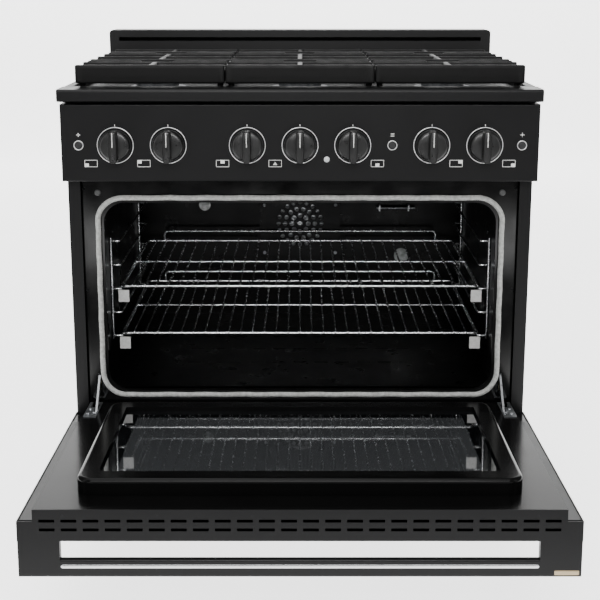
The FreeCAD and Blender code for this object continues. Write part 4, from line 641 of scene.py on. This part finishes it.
for body_name in button_names:
    low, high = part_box(body_name)
    x = (low[0] + high[0]) / 2 / MM
    height = axis_mm + sign_rise
    if body_name == "button_fan":
        for side_x, side_z in ((0, 2.2), (0, -2.2), (2.2, 0), (-2.2, 0)):
            printed(x + side_x, height + side_z, 3.0 if side_x else 1.3, 3.0 if side_z else 1.3)
    elif body_name == "button_light":
        printed(x, height, 2.8, 2.8)
        for side_x, side_z in ((0, 3.4), (0, -3.4), (3.4, 0), (-3.4, 0)):
            printed(x + side_x, height + side_z, 1.8 if side_x else 0.8, 1.8 if side_z else 0.8)
    else:
        for step in (-2.4, 0, 2.4):
            printed(x, height + step, 7.2, 0.9)
panel_marks = joined("panel_marks", marks)
panel_marks.data.shade_flat()
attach(panel_marks, "cabinet")


# ---- Burners ----
# Sand-cast aluminium burner heads with a ring of flame ports, pressed into the spill tray, and
# enamelled steel caps laid on them. A ceramic spark electrode stands beside each head.
def ported_head(name, centre, material):
    """A burner head turned about Z. Its wall is cut by ports: the radius drops where a cosine
    of the angle passes a limit, on the rows between the ports' lower and upper edges."""
    turn = np.linspace(0, math.tau, 30 * 8, endpoint=False)
    port = np.clip((np.cos(30 * turn) - 0.35) * 4, 0, 1)
    rows = [(-32, 0, 0), (-32, 25.2, 0), (-31, 26, 0), (0, 26, 0), (0, 56.2, 0), (0.8, 57, 0), (3.2, 57, 0),
            (4, 56, 0), (4.2, 46, 0), (5.2, 43.4, 0), (11, 43, 0), (11.4, 43, 3.5), (17.4, 43, 3.5),
            (17.8, 43, 0), (19.4, 42.6, 0), (20, 41.6, 0), (20, 37.4, 0), (19, 37, 0), (9.5, 36.8, 0),
            (9, 34, 0), (9, 15.5, 0), (8, 15, 0), (-20, 15, 0), (-20, 0, 0)]
    spokes = np.stack([np.cos(turn), np.sin(turn), np.zeros_like(turn)], 1)
    points = []
    for height, radius, cut in rows:
        points.append(spokes * (radius - cut * port)[:, None] + (0, 0, height))
    return surface(name, np.array(points) * MM + np.array(centre), around=True, material=material)


cast_aluminium, tree, shader = finish("sand_cast_aluminium", "8E9092", 0.5, 1.0)
place = place_of(tree)
mottled(tree, shader, place, 10, "77797B", "9C9EA0")
uneven(tree, shader, "Roughness", place, 5, 0.42, 0.6)
grained(tree, shader, place, 1.2, 0.06, 0.6)
cap_enamel, tree, shader = finish("matt_black_cap_enamel", "0E0E0F", 0.5, IOR=1.52, Specular_IOR_Level=0.2)
place = place_of(tree)
uneven(tree, shader, "Roughness", place, 15, 0.38, 0.52)
grained(tree, shader, place, 1.8, 0.03, 0.4)
dress(cap_enamel, "cooktop_deck")
alumina, tree, shader = finish("glazed_alumina_ceramic", "C8C8C6", 0.25, IOR=1.6)
place = place_of(tree)
mottled(tree, shader, place, 5, "BDBDBB", "D2D2D0")
dress(alumina, "ladder_clips")

base_low, base_high = (np.array(v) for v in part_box("burner_bases"))
tray = base_low[2] + 32 * MM
base_radius, head_height, spark_aside = 57 * MM, 20 * MM, 50 * MM
burner_x = (base_high[0] - base_radius, 0.0, base_low[0] + base_radius)
burner_y = (base_low[1] + base_radius, base_high[1] - base_radius)
heads, caps, electrodes = [], [], []
cap_shape = [(-5, 0), (-5, 33.6), (-4.6, 34), (0, 34), (0, 39.8), (0.6, 40.7), (3.4, 41), (5.2, 40.5),
             (6.3, 38.8), (6.8, 35), (7.0, 20), (7.0, 0)]
post_shape = [(-6, 0), (-6, 4.2), (5, 4.2), (5.6, 3.6), (14, 3.5), (14.6, 3.0), (14.6, 0.9), (17.6, 0.8),
              (17.9, 0)]
for x in burner_x:
    for y in burner_y:
        heads.append(ported_head("head", (x, y, tray), cast_aluminium))
        top = (x, y, tray + head_height)
        caps.append(lathe("cap", np.array(cap_shape) * MM, top, (0, 0, 1), cap_enamel, 72))
        foot = (x, y + spark_aside, tray + 4 * MM)
        electrodes.append(lathe("post", np.array(post_shape) * MM, foot, (0, 0, 1), alumina, 20))
for name, parts, node_name, slot_name in (("burner_heads", heads, "burner_bases", "cast_aluminium"),
                                          ("enamelled_caps", caps, "burner_caps", "black_enamel"),
                                          ("spark_electrodes", electrodes, None, "white_ceramic")):
    piece = crisp(joined(name, parts), 40)
    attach(piece, "cabinet")
    if node_name:
        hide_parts(node_name)


# ---- Grates ----
# Three cast iron grates. The pattern draws from the sand, so every bar tapers downwards, its
# edges are rounded and it runs into its neighbours with a soft fillet. They have matt enamel.
def cast_bar(start, end, top, height, wide, taper=0.78):
    """A bar from start to end, as x and y in millimetres: a rounded trapezium, widest at its top."""
    start, end = np.array(start, float), np.array(end, float)
    ahead = (end - start) / np.linalg.norm(end - start)
    side = np.array([-ahead[1], ahead[0]])
    half, low = wide / 2, wide / 2 * taper
    section = [(-low, -height), (low, -height), (half, -2.4), (half - 0.8, -0.8), (half - 2.4, 0),
               (2.4 - half, 0), (0.8 - half, -0.8), (-half, -2.4)]
    rings = []
    for spot in (start, end):
        rings.append([(*(spot + side * across), top + up) for across, up in section])
    rings = np.array(rings)
    middle = rings.mean(1, keepdims=True)
    rings = np.concatenate([middle[:1].repeat(len(section), 1), rings, middle[1:].repeat(len(section), 1)])
    return surface("bar", rings * MM, around=True)


cast_iron, tree, shader = finish("enamelled_cast_iron", "090909", 0.5, IOR=1.5, Specular_IOR_Level=0.2)
place = place_of(tree)
uneven(tree, shader, "Roughness", place, 20, 0.4, 0.6)
# The sand's grain is about 0.4 mm, drawn at 1.4 mm so that it shows.
grained(tree, shader, place, 1.4, 0.08, 0.5, 5.0)
bar_wide, rail_high, bar_high, rail_drop, end_rail = 10.0, 36.0, 16.0, 9, 12
flame_half, foot_in, foot_near, foot_far, foot_long = 32, 10, 24, 40, 14
for grate_name in [name for name in frame["bodies"] if name.startswith("grate_")]:
    low, high = (np.array(v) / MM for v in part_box(grate_name))
    left, right = low[0], high[0]
    near, far = low[1], high[1]
    top, centre_x = high[2], (low[0] + high[0]) / 2
    pitch = (far - near - bar_wide) / 6
    inset = bar_wide / 2
    bars = [cast_bar((x, near), (x, far), top - rail_drop, rail_high - rail_drop, bar_wide)
            for x in (left + inset, right - inset)]
    bars += [cast_bar((left, y), (right, y), top, rail_high, end_rail)
             for y in (near + end_rail / 2, far - end_rail / 2)]
    for step in range(1, 6):
        y = near + step * pitch + inset
        bars.append(cast_bar((left + 0.5, y), (right - 0.5, y), top, bar_high, 8.5))
    for first, last in ((0, 1), (2, 4), (5, 6)):
        bars.append(cast_bar((centre_x, near + first * pitch + 4), (centre_x, near + last * pitch + 6), top,
                             bar_high, bar_wide))
    for y in burner_y:
        for side in (-1, 1):
            edge = left if side < 0 else right
            start = (centre_x + side * flame_half, y / MM)
            bars.append(cast_bar(start, (edge - side * 3, y / MM), top, bar_high, 8))
    for x in (left + foot_in, right - foot_in):
        for y in (near + foot_near, far - foot_far):
            bars.append(cast_bar((x, y), (x, y + foot_long), top - 8, top - 8 - low[2], 12, 0.9))
    grate = joined(grate_name + "_casting", bars)
    grate.data.materials.append(cast_iron)
    remesh = grate.modifiers.new("sand_cast_skin", "REMESH")
    remesh.mode = "VOXEL"
    remesh.voxel_size = 2.2 * MM
    remesh.use_smooth_shade = True
    soften = grate.modifiers.new("fettled_edges", "SMOOTH")
    soften.factor = 0.5
    soften.iterations = 3
    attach(grate, grate_name)
    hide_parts(grate_name)


# ---- Oven racks and their ladders ----
# Cold-drawn steel wire, bent, resistance welded and chromium plated. The wire's ends are
# rounded.
def rounded_path(corners, bend, arc_steps=8):
    """A path through corners, in millimetres, with each inner corner swept as an arc that is
    tangent to both of its runs."""
    corners = np.array(corners, float)
    path = [corners[:1]]
    for before, here, after in zip(corners, corners[1:], corners[2:]):
        into = (here - before) / np.linalg.norm(here - before)
        away = (after - here) / np.linalg.norm(after - here)
        turn = math.acos(float(np.clip(into @ away, -1, 1)))
        reach = bend * math.tan(turn / 2)
        hub = here - into * reach + bend * (away - into * (into @ away)) / math.sin(turn)
        spin = np.linspace(0, turn, arc_steps)[:, None]
        outward = (here - into * reach) - hub
        path.append(hub + outward * np.cos(spin) + into * bend * np.sin(spin))
    path.append(corners[-1:])
    return np.vstack(path)


def wire(name, path, radius, flat, material, closed=False, steps=12):
    """A round wire along a path that lies in a plane whose normal is flat. Open ends are domed."""
    path = np.array(path, float)
    if closed:
        ahead = np.roll(path, -1, 0) - np.roll(path, 1, 0)
    else:
        ahead = np.gradient(path, axis=0)
        ahead[0], ahead[-1] = path[1] - path[0], path[-1] - path[-2]
    ahead /= np.linalg.norm(ahead, axis=1, keepdims=True)
    size = np.full(len(path), float(radius))
    if not closed:
        dome = np.array([0.0, 0.5, 0.87])
        lift = radius * (1 - np.sqrt(1 - dome ** 2))[:, None]
        path = np.vstack([path[0] + ahead[0] * lift, path[0] + ahead[0] * radius, path[1:-1],
                          path[-1] - ahead[-1] * radius, path[-1] - ahead[-1] * lift[::-1]])
        ahead = np.vstack([ahead[[0] * 4], ahead[1:-1], ahead[[-1] * 4]])
        size = np.concatenate([dome * radius, size, dome[::-1] * radius])
    side = np.cross(ahead, np.array(flat, float))
    side /= np.linalg.norm(side, axis=1, keepdims=True)
    other = np.cross(ahead, side)
    turn = np.linspace(0, math.tau, steps, endpoint=False)
    ring = side[:, None] * np.cos(turn)[None, :, None] + other[:, None] * np.sin(turn)[None, :, None]
    points = path[:, None] + ring * size[:, None, None]
    return surface(name, points * MM, around=True, along=closed, material=material)


chromed_wire, tree, shader = finish("chromium_plated_wire", "E6E7E8", 0.2, 1.0)
place = place_of(tree)
mottled(tree, shader, place, 25, "CDCFD1", "E6E8EA")
uneven(tree, shader, "Roughness", place, 8, 0.14, 0.3)
grained(tree, shader, place, 1.5, 0.01, 0.3)
wire_radius, rod_radius, rod_pitch = 3.0, 1.9, 24.7
stop_half, hook_reach, hook_bend, stop_bend = 328, 2.6, 3.2, 9
for rack_name in ("rack_lower", "rack_upper"):
    low, high = (np.array(v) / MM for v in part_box(rack_name))
    left, right = low[0] + wire_radius, high[0] - wire_radius
    near, far = low[1] + wire_radius, high[1] - wire_radius
    level = low[2] + wire_radius
    stop = high[2] - wire_radius
    loop = rounded_path([(0, near, level), (right, near, level), (right, far, level), (left, far, level),
                         (left, near, level), (0, near, level)], 11)
    wires = [wire("frame", loop[:-1], wire_radius, (0, 0, 1), chromed_wire, closed=True, steps=14)]
    y = (near + far) / 2
    wires.append(wire("rail", [(left, y, level), (0, y, level), (right, y, level)], wire_radius - 0.4,
                      (0, 0, 1), chromed_wire))
    count = int((right - left - 30) / rod_pitch)
    for step in range(count + 1):
        x = rod_pitch * (step - count / 2)
        top = level + wire_radius + rod_radius - 1.2
        hook = rounded_path([(x, near - hook_reach, level - 1.5), (x, near - hook_reach, top),
                             (x, far + 1.5, top)], hook_bend, 6)
        wires.append(wire("rod", hook, rod_radius, (1, 0, 0), chromed_wire, steps=8))
    rise = rounded_path([(-stop_half, far, level), (-stop_half, far, stop), (stop_half, far, stop),
                         (stop_half, far, level)], stop_bend)
    wires.append(wire("backstop", rise, wire_radius, (0, 1, 0), chromed_wire))
    rack = joined(rack_name + "_wires", wires)
    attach(rack, rack_name)
    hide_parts(rack_name)

low, high = (np.array(v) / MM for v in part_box("ladder_racks"))
rung_radius = 2.5
post_x = high[0] - rung_radius
rung_x = 370.5
post_low, post_high = low[2], high[2]
rung_first, rung_step = post_low + 8, 50.6
near, far = low[1] + rung_radius, high[1] - rung_radius - 8
ladders = []
for side in (-1, 1):
    for y in (near, far, far + 8):
        ladders.append(wire("post", [(side * post_x, y, post_low), (side * post_x, y, 490),
                                     (side * post_x, y, post_high)], rung_radius, (0, 1, 0), chromed_wire))
    for step in range(5):
        z = rung_first + step * rung_step
        rung = rounded_path([(side * post_x, near, z), (side * rung_x, near, z), (side * rung_x, far, z),
                             (side * post_x, far, z)], 5)
        ladders.append(wire("rung", rung, rung_radius, (0, 0, 1), chromed_wire))
ladder_wires = joined("ladder_wires", ladders)
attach(ladder_wires, "cabinet")
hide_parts("ladder_racks")

# ---- Oven fan, lamps and probe ----
# The fan wheel is pressed from stainless sheet behind its pierced cover. The lamps have domed
# borosilicate covers, and the probe is a bright steel tube on two tabs.
stainless, tree, shader = finish("pressed_stainless_sheet", "A3A5A7", 0.3, 1.0)
place = place_of(tree, (1, 1, 12))
uneven(tree, shader, "Roughness", place, 30, 0.22, 0.4)
grained(tree, shader, place, 12, 0.01, 0.3)
dress(stainless, "convection_fan", "temperature_sensor", "hinge_arm_left", "hinge_arm_right")
lamp_glass, tree, shader = finish("domed_borosilicate_cover", "8F9492", 0.12, IOR=1.47, Coat_Weight=0.6)
place = place_of(tree)
mottled(tree, shader, place, 9, "6E7371", "A9AEAC")
uneven(tree, shader, "Roughness", place, 6, 0.08, 0.2)
dress(lamp_glass, "lamp_lenses")
valve_brass, tree, shader = finish("machined_valve_brass", "A88B4E", 0.35, 1.0)
place = place_of(tree)
mottled(tree, shader, place, 12, "97793F", "B89B5E")
uneven(tree, shader, "Roughness", place, 6, 0.28, 0.45)
dress(valve_brass, "gas_valves")
cover_low, cover_high = (np.array(v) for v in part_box("fan_cover"))
cover_screws = []
inset = 12 * MM
for x in (-86, 86):
    for z in (cover_low[2] + inset, cover_high[2] - inset):
        spot = (x * MM, cover_low[1] + 0.1 * MM, z)
        cover_screws.append(screw("screw", spot, (0, -1, 0), 4 * MM, stainless))
fan_cover_screws = joined("fan_cover_screws", cover_screws)
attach(fan_cover_screws, "cabinet")


# ---- Door ----
# The door lies open on its stay arms. Its glass is dark heat-reflecting float glass, framed by
# the raised enamelled plug, with a fine screen of grey ceramic dots fired on over the window.
tinted_glass, tree, shader = finish("heat_reflecting_black_glass", "060708", 0.035, IOR=1.52, Coat_Weight=1.0,
                                    Coat_Roughness=0.02)
place = place_of(tree)
uneven(tree, shader, "Roughness", place, 70, 0.02, 0.06)
dots = node(tree, "ShaderNodeTexVoronoi", {"Vector": place, "Scale": 420.0, "Randomness": 0.0},
            voronoi_dimensions="2D")
dot = node(tree, "ShaderNodeMath", {0: (dots, "Distance"), 1: 0.36}, operation="LESS_THAN")
spot = node(tree, "ShaderNodeSeparateXYZ", {"Vector": place})
half_window, window_middle, half_tall = 0.31, front - 0.275, 0.125
in_width = node(tree, "ShaderNodeMath", {0: (spot, "X"), 1: 0.0, 2: half_window}, operation="COMPARE")
in_depth = node(tree, "ShaderNodeMath", {0: (spot, "Y"), 1: window_middle, 2: half_tall},
                operation="COMPARE")
window = node(tree, "ShaderNodeMath", {0: (in_width, "Value"), 1: (in_depth, "Value")}, operation="MULTIPLY")
fired = node(tree, "ShaderNodeMath", {0: (window, "Value"), 1: (dot, "Value")}, operation="MULTIPLY")
screen = node(tree, "ShaderNodeMix", {"Factor": (fired, "Value")}, data_type="RGBA")
for socket, code in ((6, "060708"), (7, "4C4E50")):
    screen.inputs[socket].default_value = linear(code)
tree.links.new(screen.outputs[2], shader.inputs["Base Color"])
dress(tinted_glass, "door_glass_inner", "door_glass_outer")
dress(zinc, "hinge_plates")

# ---- Door's screws ----
# Black pan-head screws hold the top trim to the door's shell, and zinc-plated ones hold the
# hinge plates to the inner panel.
hinge_y, hinge_z, opened = front - 30 * MM, 255 * MM, math.radians(88.5)


def on_door(x, depth, height):
    """A place drawn in millimetres on the shut door, turned open about the hinge axis."""
    depth, height = depth * MM, height * MM
    return (x * MM, hinge_y + depth * math.cos(opened) - height * math.sin(opened),
            hinge_z + depth * math.sin(opened) + height * math.cos(opened))


door_ahead = tuple(np.array(on_door(0, 0, 1000)) - np.array(on_door(0, 0, 0)))
door_inward = tuple(np.array(on_door(0, 1000, 0)) - np.array(on_door(0, 0, 0)))
door_top_mm = 478
trim_screws = [screw("screw", on_door(x, 7.3, door_top_mm - 1.4), door_ahead, 2.6 * MM, black_oxide)
               for x in (-382, -229, -77, 77, 229, 382)]
top_screws = joined("door_trim_screws", trim_screws)
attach(top_screws, "door")
plate_screws = [screw("screw", on_door(side * 418, 19.7, height), door_inward, 3 * MM, zinc)
                for side in (-1, 1) for height in (24, 50)]
hinge_screws = joined("hinge_plate_screws", plate_screws)
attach(hinge_screws, "door")


# ---- Door's side returns ----
# The outer skin's edges are returned over the inner panel's low flange, as a black strip down
# each side of the raised pan.
def strip_on_door(name, left, right, low, high, floor, top, material):
    """A thin flat strip on the inner face, by its edges on the shut door, turned open with it."""
    rings = []
    for depth, shrink in ((floor, 0), (top - 0.15, 0), (top, 0.4)):
        rings.append([on_door(x, depth, z) for x, z in (
            (left + shrink, low + shrink), (right - shrink, low + shrink), (right - shrink, high - shrink),
            (left + shrink, high - shrink))])
    centre_x, centre_z = (left + right) / 2, (low + high) / 2
    rings = [[on_door(centre_x, floor, centre_z)] * 4, *rings, [on_door(centre_x, top, centre_z)] * 4]
    return surface(name, np.array(rings), around=True, material=material)


pan_edge, shell_edge, flange_depth = 430.4, 454.1, -5.0
returns = [strip_on_door("return", *sorted((side * pan_edge, side * shell_edge)), 30, 470, flange_depth,
                         flange_depth + 1.4, powder_coat)
           for side in (-1, 1)]
side_returns = crisp(joined("door_side_returns", returns), 20)
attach(side_returns, "door")


# ---- Handle's highlight strip and badge ----
# A polished metal strip with round ends lies along the handle's upper face. It stands in for the bright
# highlight on the bar's edge fillet, so it is a painted highlight that its own reflections make bright.
# A small blank brass plate is riveted at the handle's right-hand end.
def let_in(name, left, right, low, high, proud, material, round_ends):
    """A thin plate on the handle's face. Its outline is a rectangle whose ends are half circles
    or small corners, lofted up with a rounded edge, and turned open with the door."""
    half_x, half_z = (right - left) / 2, (high - low) / 2
    corner = half_z if round_ends else 1.2
    turn = np.linspace(0, math.tau, 48, endpoint=False)
    x = (half_x - corner) * np.sign(np.cos(turn)) + corner * np.cos(turn)
    z = (half_z - corner) * np.sign(np.sin(turn)) + corner * np.sin(turn)
    rings = []
    for lift, shrink in ((-0.5, 0), (proud * 0.6, 0), (proud, 0.5), (proud, half_z)):
        grow = np.array([1 - shrink / half_x, 1 - shrink / half_z])
        rings.append([((left + right) / 2 + a * grow[0], (low + high) / 2 + b * grow[1], lift)
                      for a, b in zip(x, z)])
    rings.insert(0, [((left + right) / 2, (low + high) / 2, -0.5)] * len(x))
    points = np.array([[on_door(a, b, handle_face + c) for a, b, c in ring] for ring in rings])
    return surface(name, points, around=True, material=material)


handle_face = 476.2
highlight_strip_metal, tree, shader = finish("metal_strip_for_painted_highlight", "D4D5D6", 0.12, 1.0)
place = place_of(tree, (0.02, 1, 1))
uneven(tree, shader, "Roughness", place, 2, 0.08, 0.2)
# The strip is a painted highlight: it stands in for the line of light on the handle's edge fillet.
strip_half, strip_low, strip_high = 387, -84, -78
handle_highlight_strip = let_in("handle_painted_highlight_strip", -strip_half, strip_half, strip_low, strip_high, 0.35, highlight_strip_metal, True)
crisp(handle_highlight_strip, 50)
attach(handle_highlight_strip, "door")
brass, tree, shader = finish("brushed_brass_plate", "A8977A", 0.34, 1.0)
place = place_of(tree, (0.05, 1, 1))
mottled(tree, shader, place, 3, "8E7D62", "BCAC90")
uneven(tree, shader, "Roughness", place, 2, 0.26, 0.42)
badge = crisp(let_in("blank_brass_plate", 412, 452, -96, -88, 0.2, brass, False), 50)
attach(badge, "door")
